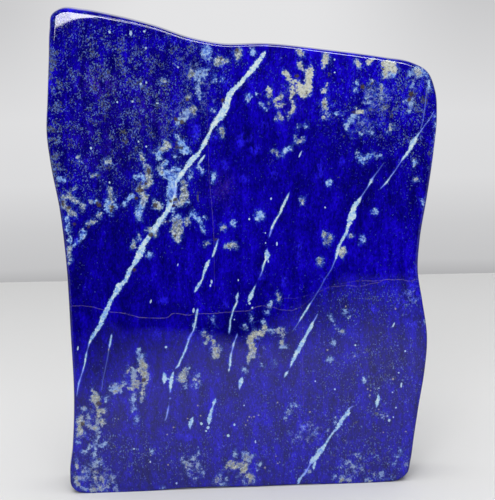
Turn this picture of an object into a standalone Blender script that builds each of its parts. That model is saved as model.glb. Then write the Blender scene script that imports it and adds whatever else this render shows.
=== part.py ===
"""A polished freeform slab of lapis lazuli, standing upright on a small ground foot.

The model is in metres with +Z up. The broad polished face looks along -Y, +X is to its right,
and the origin is on the surface the stone stands on, under the middle of the stone.
"""

import bmesh
import bpy
import numpy as np

# Driving dimensions, in millimetres
WIDTH = 176.0            # between the widest points of the front outline
HEIGHT = 220.0           # from the foot to the highest point of the front outline
FOOT_THICKNESS = 38.0    # front to back at the foot
TOP_THICKNESS = 31.0     # front to back at the left shoulder
FACE_CROWN = 0.3         # how far each broad face stands out in its middle
SIDE_SWELL = 0.9         # how far the sides swell out halfway through the thickness
EDGE_DEPTH = 1.3         # depth of the front rounding, as a share of its width
BACK_ROUND = 3.0         # width of the rounding where the sides meet the back
BACK_TAPER = 1.6         # mean inward slant of the sides at the back
BACK_WANDER = 1.2        # how far that slant comes and goes, twice in one turn round the stone

# Outline of the stone seen from the front, anticlockwise from the left end of the foot.
# Each point is x, z and the width of the polished rounding along the front edge there.
OUTLINE = [
    (-80.0, 0.9, 1.0),
    (-75.5, -0.2, 0.9),
    (-62.0, -0.5, 0.8),
    (-48.0, -0.3, 0.8),
    (-32.0, 0.6, 0.9),
    (-18.0, 0.6, 1.0),
    (0.0, 0.1, 1.0),
    (26.0, 0.2, 1.1),
    (44.0, -0.4, 1.2),
    (60.0, -0.2, 1.3),
    (68.8, 0.8, 1.6),
    (72.4, 3.6, 1.8),
    (74.0, 9.5, 1.8),
    (75.6, 20.0, 1.6),
    (78.2, 36.0, 1.5),
    (80.8, 50.5, 1.4),
    (82.3, 67.5, 1.4),
    (80.3, 84.0, 1.4),
    (78.4, 98.0, 1.4),
    (79.4, 112.0, 1.4),
    (83.0, 132.0, 1.5),
    (86.3, 153.0, 1.5),
    (87.9, 168.0, 1.6),
    (87.2, 180.0, 1.7),
    (83.6, 188.6, 1.8),
    (76.6, 192.6, 1.7),
    (65.0, 194.9, 1.5),
    (38.0, 199.0, 1.1),
    (11.0, 202.3, 0.8),
    (-9.0, 202.7, 0.8),
    (-22.4, 205.6, 0.9),
    (-39.0, 211.6, 1.1),
    (-55.8, 216.3, 1.5),
    (-70.8, 219.4, 1.9),
    (-80.0, 220.0, 2.1),
    (-83.8, 217.6, 2.1),
    (-84.9, 211.5, 2.0),
    (-85.8, 198.0, 1.7),
    (-87.0, 180.0, 1.4),
    (-87.9, 165.0, 1.3),
    (-86.6, 151.0, 1.3),
    (-83.4, 131.0, 1.3),
    (-81.4, 108.0, 1.3),
    (-80.4, 74.0, 1.2),
    (-80.0, 42.0, 1.2),
    (-81.4, 21.0, 1.2),
    (-82.9, 9.0, 1.2),
    (-82.3, 3.2, 1.1),
]

# How finely the stone is faceted
STEPS_PER_SPAN = 3       # facets between two outline points
FRONT_EDGE_STEPS = 4     # facets across the front rounding
SIDE_STEPS = 4           # facets across a side
BACK_EDGE_STEPS = 3      # facets across the back rounding
FACE_RINGS = (0.82, 0.45)    # shrunken copies of the rim that carry each broad face
CREASE_ANGLE = 35.0      # degrees, shaded sharp above this: only the rim of the foot

MM = 0.001
WANDER_START = 0.7       # radians, where the slant's comings and goings begin
STONE_BLUE = (0.006, 0.004, 0.25, 1.0)
STONE_ROUGHNESS = 0.06


def clear_scene():
    """Remove the objects that a new Blender file starts with."""
    for thing in list(bpy.data.objects):
        bpy.data.objects.remove(thing, do_unlink=True)


def stone_material():
    """Dense blue polished stone."""
    material = bpy.data.materials.new("lapis")
    material.use_nodes = True
    shader = material.node_tree.nodes["Principled BSDF"]
    shader.inputs["Base Color"].default_value = STONE_BLUE
    shader.inputs["Roughness"].default_value = STONE_ROUGHNESS
    shader.inputs["Metallic"].default_value = 0.0
    material.diffuse_color = STONE_BLUE
    return material


def smooth_outline():
    """The outline as a closed smooth curve: rows of x, z and rounding width, in millimetres.

    Each span is a cubic between two outline points. Its end tangents come from the points on
    either side, weighted by how near they are, so close points turn a tight corner.
    """
    points = np.array(OUTLINE)
    spans = points[:, :2].max(axis=0) - points[:, :2].min(axis=0)
    points[:, 0] *= WIDTH / spans[0]
    points[:, 1] *= HEIGHT / points[:, 1].max()
    before = points - np.roll(points, 1, axis=0)
    after = np.roll(points, -1, axis=0) - points
    reach_before = np.linalg.norm(before[:, :2], axis=1)[:, None]
    reach_after = np.linalg.norm(after[:, :2], axis=1)[:, None]
    slope = reach_after * before / reach_before + reach_before * after / reach_after
    slope /= reach_before + reach_after
    start_pull = slope * reach_after
    end_pull = np.roll(slope, -1, axis=0) * reach_after
    t = (np.arange(STEPS_PER_SPAN) / STEPS_PER_SPAN)[None, :, None]
    curve = (
        (2 * t**3 - 3 * t**2 + 1) * points[:, None]
        + (t**3 - 2 * t**2 + t) * start_pull[:, None]
        + (3 * t**2 - 2 * t**3) * np.roll(points, -1, axis=0)[:, None]
        + (t**3 - t**2) * end_pull[:, None]
    )
    return curve.reshape(-1, 3)


def inward_normals(xz):
    """Unit vectors that point from each outline vertex to the inside of the stone."""
    along = np.roll(xz, -1, axis=0) - np.roll(xz, 1, axis=0)
    along /= np.linalg.norm(along, axis=1)[:, None]
    return np.stack([-along[:, 1], along[:, 0]], axis=1)


def thickness_at(z):
    """Thickness of the slab at a height, in millimetres: it thins evenly from foot to top."""
    return FOOT_THICKNESS + (TOP_THICKNESS - FOOT_THICKNESS) * z / HEIGHT


def rim_profile(edge, z, turn):
    """Inset and depth of each ring from the front face round the side to the back face.

    The front rounding is a quarter ellipse, the side a shallow arch that slants in towards the
    back, and the back rounding a quarter circle. Depth is measured back from the front face.
    """
    thick = thickness_at(z)
    slant = BACK_TAPER + BACK_WANDER * np.sin(2.0 * turn + WANDER_START)
    front_depth = EDGE_DEPTH * edge
    side_length = thick - front_depth - BACK_ROUND
    rings = []
    for angle in np.linspace(0.0, np.pi / 2, FRONT_EDGE_STEPS + 1):
        rings.append((edge * (1 - np.sin(angle)), front_depth * (1 - np.cos(angle))))
    for share in np.linspace(0.0, 1.0, SIDE_STEPS + 1)[1:-1]:
        arch = SIDE_SWELL * np.sin(np.pi * share)
        rings.append((slant * share**2 - arch, front_depth + side_length * share))
    for angle in np.linspace(0.0, np.pi / 2, BACK_EDGE_STEPS + 1):
        inset = slant + BACK_ROUND * (1 - np.cos(angle))
        rings.append((inset, thick - BACK_ROUND * (1 - np.sin(angle))))
    return rings


def stone_rings():
    """All rings of the stone from the middle of the front face to the middle of the back face."""
    outline = smooth_outline()
    xz = outline[:, :2]
    inward = inward_normals(xz)
    middle = xz.mean(axis=0)
    turn = np.arctan2(xz[:, 1] - middle[1], xz[:, 0] - middle[0])
    rims = []
    for inset, depth in rim_profile(outline[:, 2], xz[:, 1], turn):
        flat = xz + inward * inset[:, None]
        rims.append(np.column_stack([flat[:, 0], depth, flat[:, 1]]))
    front = [face_ring(rims[0], share, -1) for share in reversed(FACE_RINGS)]
    back = [face_ring(rims[-1], share, 1) for share in FACE_RINGS]
    return front + rims + back


def face_ring(rim, share, side):
    """A copy of the rim shrunk towards its middle and set out by the crown of the broad face."""
    middle = rim.mean(axis=0)
    ring = middle + (rim - middle) * share
    ring[:, 1] += side * FACE_CROWN * (1 - share**2)
    return ring


def make_slab(material):
    """Loft the rings into one closed body, then grind the foot flat at z = 0."""
    rings = stone_rings()
    mesh = bpy.data.meshes.new("lapis_slab")
    body = bmesh.new()
    loops = [[body.verts.new(point * MM) for point in ring] for ring in rings]
    count = len(loops[0])
    for front, back in zip(loops, loops[1:]):
        for i in range(count):
            j = (i + 1) % count
            body.faces.new((front[i], front[j], back[j], back[i]))
    close_face(body, loops[0], -1)
    close_face(body, loops[-1], 1)
    whole = body.verts[:] + body.edges[:] + body.faces[:]
    bmesh.ops.bisect_plane(body, geom=whole, plane_co=(0, 0, 0), plane_no=(0, 0, -1), clear_outer=True)
    foot_rim = [edge for edge in body.edges if edge.is_boundary]
    bmesh.ops.edgenet_fill(body, edges=foot_rim)
    bmesh.ops.triangulate(body, faces=body.faces[:])
    bmesh.ops.recalc_face_normals(body, faces=body.faces[:])
    centre_over_origin(body)
    body.to_mesh(mesh)
    body.free()
    mesh.shade_smooth()
    mesh.set_sharp_from_angle(angle=np.radians(CREASE_ANGLE))
    mesh.materials.append(material)
    slab = bpy.data.objects.new("lapis_slab", mesh)
    bpy.context.scene.collection.objects.link(slab)
    return slab


def close_face(body, loop, side):
    """Close a broad face with a fan of triangles to one vertex in its middle."""
    middle = np.mean([vert.co for vert in loop], axis=0)
    inner_share = FACE_RINGS[-1]
    middle[1] += side * FACE_CROWN * inner_share**2 * MM
    centre = body.verts.new(middle)
    count = len(loop)
    for i in range(count):
        body.faces.new((loop[i], loop[(i + 1) % count], centre))


def centre_over_origin(body):
    """Move the stone so that its box is centred over the origin in X and Y."""
    points = np.array([vert.co for vert in body.verts])
    middle = (points.min(axis=0) + points.max(axis=0)) / 2
    bmesh.ops.translate(body, verts=body.verts[:], vec=(-middle[0], -middle[1], 0.0))


clear_scene()
make_slab(stone_material())
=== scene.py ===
"""Looks of a polished freeform slab of lapis lazuli that stands upright on its ground foot.

Lists of points are millimetres seen from the front: x to the right, z up from the foot.
"""

import bpy
import numpy as np
from mathutils import Matrix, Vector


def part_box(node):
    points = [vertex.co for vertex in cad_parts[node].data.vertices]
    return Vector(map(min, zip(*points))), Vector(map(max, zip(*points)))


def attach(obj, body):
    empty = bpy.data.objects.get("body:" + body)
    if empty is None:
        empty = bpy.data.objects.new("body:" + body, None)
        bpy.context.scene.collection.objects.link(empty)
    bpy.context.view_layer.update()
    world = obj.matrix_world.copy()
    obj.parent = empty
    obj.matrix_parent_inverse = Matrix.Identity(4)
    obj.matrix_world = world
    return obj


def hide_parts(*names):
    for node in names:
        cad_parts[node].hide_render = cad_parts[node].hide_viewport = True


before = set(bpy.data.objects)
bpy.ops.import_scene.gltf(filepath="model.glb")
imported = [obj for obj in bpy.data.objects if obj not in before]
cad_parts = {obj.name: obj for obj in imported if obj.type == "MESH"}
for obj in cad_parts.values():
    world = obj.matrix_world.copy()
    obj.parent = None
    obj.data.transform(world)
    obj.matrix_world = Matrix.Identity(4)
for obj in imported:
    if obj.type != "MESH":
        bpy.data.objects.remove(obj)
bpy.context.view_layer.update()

# The slab: one piece of lapis lazuli, sawn, ground and polished all over. Its front arris is only
# eased, its sides swell a little and run in towards the back, and its lower edge is ground to a
# flat on which it stands. These are the same sizes as the solid it stands for.
MM = 0.001
SLAB_WIDTH = 176.0       # between the widest points of the outline
SLAB_HEIGHT = 220.0      # from the foot to the highest point of the outline
FOOT_THICKNESS = 38.0
TOP_THICKNESS = 31.0
FACE_CROWN = 0.3         # how far each broad face stands out in its middle
FACE_RIPPLE = 0.05       # how far hand polishing leaves the front face uneven
SIDE_SWELL = 0.9         # how far the sides swell out halfway through the thickness
EDGE_DEPTH = 1.3         # depth of the front rounding, as a share of its width
BACK_ROUND = 3.0         # width of the rounding where the sides meet the back
BACK_TAPER = 1.6         # mean inward slant of the sides at the back
BACK_WANDER = 1.2        # how far that slant comes and goes, twice in one turn round the slab
WANDER_START = 0.7       # radians

# Outline from the left end of the foot, anticlockwise: x, z and the width of the eased arris
OUTLINE = [
    (-80, 0.9, 1), (-75.5, -0.2, 0.9), (-62, -0.5, 0.8), (-48, -0.3, 0.8), (-32, 0.6, 0.9),
    (-18, 0.6, 1), (0, 0.1, 1), (26, 0.2, 1.1), (44, -0.4, 1.2), (60, -0.2, 1.3), (68.8, 0.8, 1.6),
    (72.4, 3.6, 1.8), (74, 9.5, 1.8), (75.6, 20, 1.6), (78.2, 36, 1.5), (80.8, 50.5, 1.4),
    (82.3, 67.5, 1.4), (80.3, 84, 1.4), (78.4, 98, 1.4), (79.4, 112, 1.4), (83, 132, 1.5),
    (86.3, 153, 1.5), (87.9, 168, 1.6), (87.2, 180, 1.7), (83.6, 188.6, 1.8), (76.6, 192.6, 1.7),
    (65, 194.9, 1.5), (38, 199, 1.1), (11, 202.3, 0.8), (-9, 202.7, 0.8), (-22.4, 205.6, 0.9),
    (-39, 211.6, 1.1), (-55.8, 216.3, 1.5), (-70.8, 219.4, 1.9), (-80, 220, 2.1), (-83.8, 217.6, 2.1),
    (-84.9, 211.5, 2), (-85.8, 198, 1.7), (-87, 180, 1.4), (-87.9, 165, 1.3), (-86.6, 151, 1.3),
    (-83.4, 131, 1.3), (-81.4, 108, 1.3), (-80.4, 74, 1.2), (-80, 42, 1.2), (-81.4, 21, 1.2),
    (-82.9, 9, 1.2), (-82.3, 3.2, 1.1),
]

# The four corners of the slab, as places along the outline, and how finely it is meshed
FOOT_LEFT = -0.5
FOOT_RIGHT = 11.0
SHOULDER_RIGHT = 24.0
SHOULDER_LEFT = 34.6
FACETS_ACROSS = 170
FACETS_UP = 212
FRONT_EDGE_FACETS = 8
SIDE_FACETS = 20
BACK_EDGE_FACETS = 5
CREASE_ANGLE = 35.0      # degrees


def outline_at(stations):
    """x, z and arris width at stations, which count outline points and may lie between them.

    Each span is the cubic with those end points and end slopes. The slope at a point is the mean of
    the slopes of its two spans, each weighted by the length of the other.
    """
    points = np.array(OUTLINE)
    points[:, 0] *= SLAB_WIDTH / np.ptp(points[:, 0])
    points[:, 1] *= SLAB_HEIGHT / points[:, 1].max()
    before = points - np.roll(points, 1, axis=0)
    after = np.roll(points, -1, axis=0) - points
    reach_before = np.linalg.norm(before[:, :2], axis=1)[:, None]
    reach_after = np.linalg.norm(after[:, :2], axis=1)[:, None]
    slope = reach_after * before / reach_before + reach_before * after / reach_after
    slope /= reach_before + reach_after
    here = np.floor(stations).astype(int) % len(points)
    there = (here + 1) % len(points)
    t = (stations - np.floor(stations))[:, None]
    return (
        (2 * t**3 - 3 * t**2 + 1) * points[here]
        + (t**3 - 2 * t**2 + t) * (slope * reach_after)[here]
        + (3 * t**2 - 2 * t**3) * points[there]
        + (t**3 - t**2) * slope[there] * reach_after[here]
    )


def even_stations(first, last, steps):
    """Stations that part the outline into equal lengths: its running length, read backwards."""
    fine = np.linspace(first, last, 60 * steps)
    spans = np.linalg.norm(np.diff(outline_at(fine)[:, :2], axis=0), axis=1)
    length = np.concatenate([[0.0], np.cumsum(spans)])
    return np.interp(np.linspace(0.0, length[-1], steps + 1), length, fine)[:-1]


def side_profile(edge, z, turn):
    """Inset and depth of each row from the front face to the back face, one column per station.

    The front arris is a quarter ellipse, the side a shallow arch on a slant that comes and goes
    twice in one turn round the slab, and the back arris a quarter circle.
    """
    thick = FOOT_THICKNESS + (TOP_THICKNESS - FOOT_THICKNESS) * z / SLAB_HEIGHT
    slant = BACK_TAPER + BACK_WANDER * np.sin(2.0 * turn + WANDER_START)
    front_angle = np.linspace(0.0, np.pi / 2, FRONT_EDGE_FACETS + 1)[:, None]
    share = np.linspace(0.0, 1.0, SIDE_FACETS + 1)[1:-1, None]
    back_angle = np.linspace(0.0, np.pi / 2, BACK_EDGE_FACETS + 1)[:, None]
    side_length = thick - EDGE_DEPTH * edge - BACK_ROUND
    inset = np.concatenate([
        edge * (1 - np.sin(front_angle)),
        slant * share**2 - SIDE_SWELL * np.sin(np.pi * share),
        slant + BACK_ROUND * (1 - np.cos(back_angle)),
    ])
    depth = np.concatenate([
        EDGE_DEPTH * edge * (1 - np.cos(front_angle)),
        EDGE_DEPTH * edge + side_length * share,
        thick - BACK_ROUND * (1 - np.sin(back_angle)),
    ])
    return inset, depth


def face_between(rim):
    """The surface that fills a four-sided rim.

    It is the sum of the two surfaces ruled between opposite sides, less the bilinear surface
    through the four corners. Rows run up the slab, columns to the right.
    """
    lower = rim[:FACETS_ACROSS + 1]
    right = rim[FACETS_ACROSS:FACETS_ACROSS + FACETS_UP + 1]
    upper = rim[FACETS_ACROSS + FACETS_UP:2 * FACETS_ACROSS + FACETS_UP + 1][::-1]
    left = np.concatenate([rim[2 * FACETS_ACROSS + FACETS_UP:], rim[:1]])[::-1]
    u = np.linspace(0.0, 1.0, FACETS_ACROSS + 1)[None, :, None]
    v = np.linspace(0.0, 1.0, FACETS_UP + 1)[:, None, None]
    between_sides = (1 - v) * lower[None] + v * upper[None] + (1 - u) * left[:, None] + u * right[:, None]
    corners = (1 - v) * ((1 - u) * lower[0] + u * lower[-1]) + v * ((1 - u) * upper[0] + u * upper[-1])
    return between_sides - corners


def stand_out(face, side):
    """Crown the face outwards, and leave the front a little uneven as hand polishing does.

    The crown is the product of two parabolas that are 0 at the rim and 1 in the middle. The
    unevenness is a sum of three slow waves that fades out towards the rim.
    """
    u = np.linspace(0.0, 1.0, FACETS_ACROSS + 1)[None, :]
    v = np.linspace(0.0, 1.0, FACETS_UP + 1)[:, None]
    crown = 16 * u * (1 - u) * v * (1 - v)
    x, z = face[..., 0], face[..., 2]
    waves = np.sin(x / 13.0 + z / 31.0) + np.sin(x / 21.0 - z / 17.0 + 1.0) + np.sin(z / 24.0 + 2.0)
    face[..., 1] += side * FACE_CROWN * crown
    if side < 0:
        face[..., 1] += FACE_RIPPLE / 3 * waves * np.clip(6 * crown, 0, 1)
    return face


def slab_shape():
    """Vertices in millimetres and four-sided faces of the whole slab, closed and facing outwards."""
    stations = np.concatenate([
        even_stations(FOOT_LEFT, FOOT_RIGHT, FACETS_ACROSS),
        even_stations(FOOT_RIGHT, SHOULDER_RIGHT, FACETS_UP),
        even_stations(SHOULDER_RIGHT, SHOULDER_LEFT, FACETS_ACROSS),
        even_stations(SHOULDER_LEFT, FOOT_LEFT + len(OUTLINE), FACETS_UP),
    ])
    outline = outline_at(stations)
    along = outline_at(stations + 0.01)[:, :2] - outline_at(stations - 0.01)[:, :2]
    along /= np.linalg.norm(along, axis=1)[:, None]
    middle = outline_at(np.arange(0, len(OUTLINE), 1 / 3))[:, :2].mean(axis=0)
    turn = np.arctan2(outline[:, 1] - middle[1], outline[:, 0] - middle[0])
    inset, depth = side_profile(outline[:, 2], outline[:, 1], turn)
    x = outline[:, 0] - along[:, 1] * inset
    z = outline[:, 1] + along[:, 0] * inset
    rows = np.stack([x, depth, z], axis=2)
    front = stand_out(face_between(rows[0]), -1)
    back = stand_out(face_between(rows[-1]), 1)
    sides = rows[1:-1]
    points = np.concatenate([front.reshape(-1, 3), back.reshape(-1, 3), sides.reshape(-1, 3)])
    points[:, 2] = np.maximum(points[:, 2], 0.0)
    face_size = front.shape[0] * front.shape[1]
    front_index = np.arange(face_size).reshape(front.shape[:2])
    back_index = front_index + face_size
    side_index = np.arange(sides.shape[0] * sides.shape[1]).reshape(sides.shape[:2]) + 2 * face_size
    band = np.concatenate([rim_of(front_index)[None], side_index, rim_of(back_index)[None]])
    band = np.concatenate([band, band[:, :1]], axis=1)
    quads = np.concatenate([quads_of(front_index), quads_of(back_index)[:, ::-1], quads_of(band)[:, ::-1]])
    return points, quads


def rim_of(index):
    """The indices round a grid, from its lower left corner, anticlockwise."""
    return np.concatenate([index[0, :-1], index[:-1, -1], index[-1, :0:-1], index[:0:-1, 0]])


def quads_of(index):
    """Four-sided faces of a grid, each anticlockwise for rows that run up and columns to the right."""
    corners = [index[:-1, :-1], index[:-1, 1:], index[1:, 1:], index[1:, :-1]]
    return np.stack(corners, axis=-1).reshape(-1, 4)


slab_low, slab_high = (np.array(corner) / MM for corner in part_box("lapis_slab"))
points, quads = slab_shape()
shift = (slab_low + slab_high - points.min(axis=0) - points.max(axis=0)) / 2
shift[1] = slab_low[1] + FACE_CROWN
shift[2] = 0.0
depth = points[:, 1].copy()
points += shift


def in_scene(name, data):
    """A new object of that name with this mesh, lamp or camera, linked to the scene."""
    thing = bpy.data.objects.new(name, data)
    bpy.context.scene.collection.objects.link(thing)
    return thing


slab_mesh = bpy.data.meshes.new("lapis_stone")
slab_mesh.from_pydata(points * MM, [], quads.tolist())
slab_mesh.shade_smooth()
slab_mesh.set_sharp_from_angle(angle=np.radians(CREASE_ANGLE))
slab = in_scene("lapis_stone", slab_mesh)
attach(slab, "root")
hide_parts("lapis_slab")

# Where a mark on the face is met again inside the stone: it leans as the beds do, and wanders more
# the deeper it lies, so the sides and the back show the same veins in other places and widths.
BED_LEAN = 0.35          # mm to the left per mm of depth
BED_FALL = 0.12          # mm down per mm of depth
BED_WANDER = 5.0         # mm at the back face
PITCH = 1.05             # mm between neighbouring vertices of the broad faces
back_depth = depth / FOOT_THICKNESS
mark_x = points[:, 0] + BED_LEAN * depth + BED_WANDER * back_depth * np.sin(points[:, 2] / 19.0 + 1.3)
mark_z = points[:, 2] + BED_FALL * depth + BED_WANDER * back_depth * np.sin(points[:, 0] / 23.0 + 0.4)


def store(name, columns):
    """Keep three numbers for each vertex of the slab under a name that its finish reads."""
    attribute = slab_mesh.attributes.new(name, "FLOAT_VECTOR", "POINT")
    attribute.data.foreach_set("vector", np.column_stack(columns).astype(np.float32).ravel())


# Calcite veins: cracks that filled with pale crystal, now polished flush with the blue. Each point
# is x, z, half the vein's width, below 0 in a gap, and how solid it is there where that is not 1.
# Veins that run close together are kept in different families.
MAIN_VEIN = [
    (10.4, 198.6, 0.6), (9.4, 197.2, 0.9), (8.5, 195.8, 1), (6.5, 193.3, 1.3), (4, 190.3, 1.2),
    (1.5, 187.6, 0.9), (-0.6, 185.3, 1), (-3, 183, 1), (-5.5, 180.5, 1.2), (-6.7, 177.5, 1.4),
    (-7.7, 174.8, 1.7), (-9, 172.3, 2), (-10.7, 170, 1.5), (-12.3, 168.2, 1.3), (-13.8, 166.2, 1),
    (-14.3, 165.2, 0.5), (-15, 163.5, 0.9), (-16.3, 161, 0.9), (-17.5, 158.8, 1.1), (-18.4, 157.3, 1),
    (-19.3, 156, 0.35), (-20.3, 154.3, 1), (-22.5, 152.3, 1.3), (-24.3, 150.3, 1.3),
    (-25.8, 148.3, 1.1), (-27.5, 146.3, 1), (-28.8, 144.5, 1.2), (-29.8, 142.8, 1), (-31, 141.3, 0.4),
    (-31.2, 138, 0.6, 0.8), (-32, 134.5, 0.7), (-33.3, 132.3, 1), (-34.5, 130, 1.1), (-36, 127.5, 1),
    (-37.8, 125.2, 1.2), (-39.5, 123, 1.3), (-41, 121, 1.2), (-42.5, 119, 1.1), (-44, 117, 1),
    (-45.5, 115, 1.1), (-47, 112.5, 1.6), (-48, 110, 1.9), (-49.3, 107.6, 1.3), (-50.6, 105.4, 1.1),
    (-51.2, 104.4, 0.4), (-52.8, 102.6, 1), (-53.4, 101, 1.2), (-54.2, 98.8, 0.7), (-55.4, 97.2, 0.9),
    (-57.4, 95.8, 1.3), (-58.3, 94.2, 1.6), (-59.2, 92.7, 1.2), (-60.3, 90.9, 0.55),
    (-61.4, 89.6, 0.75), (-62.2, 87.8, 0.8), (-62.9, 86.2, 0.9), (-63.8, 84.4, 1.2), (-64.7, 82.4, 1),
    (-65.9, 80.4, 1.2), (-66.8, 78.3, 1), (-67.8, 76.2, 0.9), (-69, 74.8, 0.7), (-70, 73.3, 0.75),
    (-71.2, 71.4, 0.6), (-72.1, 69.6, 0.35), (-72.6, 67.8, 0.15, 0.4), (-73.1, 66.2, 0.1, 0.35),
    (-73.6, 64.8, 0.3), (-74, 62.4, 0.4), (-74.6, 59.6, 0.2), (-75.4, 57.2, 0.25, 0.8),
    (-76.4, 54.2, 0.2, 0.5), (-77.4, 51.6, 0.35, 0.9), (-78.2, 47.6, 0.15, 0.7),
    (-78.6, 45.4, 0.1, 0.5),
]
SPUR = [(-17.7, 153.3, 0.3), (-19.2, 151.4, 0.5), (-20.8, 149.2, 0.3, 0.9)]
LEFT_VEIN = [
    (-12.6, 115.2, 0.2, 0.6), (-13.3, 113, 0.3), (-14, 110.8, 0.5), (-14.8, 108.8, 0.45),
    (-15.4, 107.3, 0.3), (-16, 106.7, -0.6, 0), (-16.7, 106, 0.35), (-17.5, 104.6, 0.7),
    (-18.3, 102.8, 0.7), (-19.2, 100.8, 0.6), (-19.6, 99.4, 0.35), (-19.9, 98, 0.35),
    (-20.4, 96.8, 0.4), (-21.4, 95.4, 0.6), (-22.4, 93.8, 0.65), (-23.3, 92.3, 0.6), (-23.8, 91.6, 0.2),
    (-23.4, 90.6, -0.6, 0), (-22.9, 84.8, -0.6, 0), (-22.6, 83.9, 0.25, 0.9), (-23, 82.2, 0.5),
    (-23.4, 80, 0.4), (-23.7, 78, 0.35), (-24.3, 76, 0.3), (-24.7, 74, 0.25, 0.9),
    (-25.6, 72.6, 0.3, 0.6), (-26.4, 71.4, 0.5, 0.6), (-27, 70, 0.4, 0.8), (-27.6, 68, 0.35),
    (-28.6, 65.2, 0.4), (-29.6, 63, 0.4), (-31, 60.4, 0.35), (-32, 58, 0.5), (-33.3, 56.8, 0.25, 0.7),
]
LEFT_VEIN_LOWER = [
    (-34.4, 55, 0.2), (-34.8, 53.8, 0.55), (-35.4, 52.2, 0.9), (-35.6, 50.4, 1), (-36, 48.2, 0.7),
    (-36.1, 46.6, 0.3), (-36.2, 45.4, 0.1, 0.5), (-36.3, 44.4, -0.6, 0), (-36.3, 43, 0.3, 0.8),
    (-36.6, 41.6, -0.5, 0.3), (-37, 39.6, 0.1, 0.4), (-37.2, 38.4, 0.35, 0.8), (-37.7, 36.4, 0.35, 0.8),
    (-38.1, 34.4, 0.25, 0.7), (-39, 32.4, 0.2, 0.2),
]
MIDDLE_VEIN = [
    (20, 135.3, 0.15), (18.7, 132.5, 0.6), (17, 129.5, 0.5), (15.8, 126.5, 0.6), (15, 125, 0.3),
    (14.3, 124.3, 0.3), (13.3, 122.5, 0.5), (12, 120, 0.4), (11.3, 118, 0.3, 0.6),
    (10.8, 116.4, 0.3, 0.8), (10.2, 114.6, -0.3, 0), (9.7, 111, -0.3, 0), (9.3, 109.4, 0.5),
    (9.4, 108.3, 1.1), (9.5, 107, 1.25), (9.2, 105.6, 0.9), (8.4, 104.7, 0.35), (7.8, 103.2, 0.5),
    (7.4, 101.8, 0.45), (7.3, 100.8, 0.2), (6.4, 98.4, 0.3, 0.3), (4.6, 95.2, -0.3, 0), (3.5, 93, 0.2),
    (3, 91.8, 0.4), (2.4, 90.8, 0.6), (1.7, 89, 0.95), (1, 87.5, 0.7), (0.5, 86.6, 0.35),
]
MIDDLE_VEIN_LEFT = [
    (-4.2, 90.2, 0.3), (-4.6, 88.8, 0.65), (-4.9, 87.6, 0.3, 0.8), (-4.6, 86.4, 0.45, 0.9),
    (-5.4, 84.8, 0.35), (-6.2, 83.4, 0.4), (-6.7, 82, 0.3), (-7.2, 80.2, 0.25), (-7.9, 78, 0.28),
    (-8.1, 75.6, 0.35), (-8.4, 73.6, 0.4), (-8.6, 72.3, 0.3, 0.8),
]
MIDDLE_VEIN_LOWER = [
    (-4.9, 71.6, 0.15, 0.8), (-5.2, 70.6, 0.3, 0.8), (-5.9, 69, 0.15, 0.5), (-6.5, 67.6, 0.4, 0.9),
    (-6.9, 66.2, 0.5, 0.9), (-7.4, 64.2, 0.25, 0.5), (-7.9, 62.6, 0.4, 0.9), (-8.3, 60.6, 0.45, 0.9),
    (-8.5, 58.6, 0.55), (-8.6, 56.8, 0.35), (-8.9, 56, 0.1, 0.8), (-9.1, 55.2, 0.4),
    (-9.2, 54.4, 0.1, 0.8),
]
TWIN_TEAR = [(-38.7, 54.6, 0.4), (-38.5, 53.4, 0.9), (-38.5, 51.9, 1.2), (-38.8, 50.4, 0.5)]
TWIN_BRIDGE = [(-37.9, 52.3, 0.35), (-36.2, 51.8, 0.35)]
WHITE_TEAR = [
    (-3.2, 51.2, 0.4), (-3.6, 50, 1.05), (-4.1, 48.6, 0.75), (-4.5, 47, 0.3), (-4.5, 45.8, 0.2, 0.3),
]
WHITE_DROP = [
    (-15.7, 41.6, 0.5), (-16.1, 40.5, 0.95), (-16.5, 39.5, 0.5), (-16.8, 38.8, 0.2, 0.7),
    (-17.2, 37.6, 0.45), (-17.6, 36.6, 0.6), (-18.1, 35, 0.55), (-18.5, 33.8, 1), (-18.7, 32.6, 1.25),
    (-18.8, 31.4, 0.95), (-18.9, 30.4, 0.2),
]
WHITE_GRAIN = [
    (-26.2, 33.6, 0.3), (-26.7, 32.4, 0.9), (-27.2, 31, 0.9), (-27.6, 29.8, 0.5),
    (-27.5, 28.4, 0.15, 0.7),
]
RIGHT_VEIN = [
    (63.5, 148, 0.1, 0.2), (60.5, 144, 0.12, 0.35), (58.3, 141.3, 0.2, 0.6), (57.4, 139.6, 0.8),
    (56.7, 138.4, 0.3), (55.5, 136.5, 0.1, 0.6), (52.8, 132.8, 0.12, 0.8), (52, 131.5, 0.7),
    (51, 130.3, 1), (50, 129, 1.2), (49, 126.5, 1.2), (48.5, 124.5, 1.8), (47.5, 122, 1.4),
    (47, 120.5, 0.7), (46.3, 118.5, 0.7), (45.8, 116.5, 0.7), (44.5, 114.5, 0.5), (43.3, 112.5, 0.5),
    (42.3, 110.5, 0.6), (41.5, 108, 0.7), (41, 105.5, 0.45), (40.3, 104, 0.15, 0.8),
    (38.6, 100, 0.08, 0.5), (36.8, 97.4, 0.06, 0.4), (35.2, 95.2, 0.08, 0.4), (33.6, 92, 0.06, 0.4),
    (32.4, 90.2, 0.08, 0.4), (30.8, 87.6, 0.08, 0.35), (29.2, 85.2, 0.1, 0.6), (28.2, 84, 0.3),
    (27.2, 82.2, 0.45), (26, 80.4, 0.4), (24.4, 78, 0.4), (23.4, 76.4, 0.12, 0.7),
    (22.4, 74.8, 0.1, 0.5), (21.2, 73.2, 0.08, 0.3), (20, 71.8, 0.1, 0.2),
]
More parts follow.
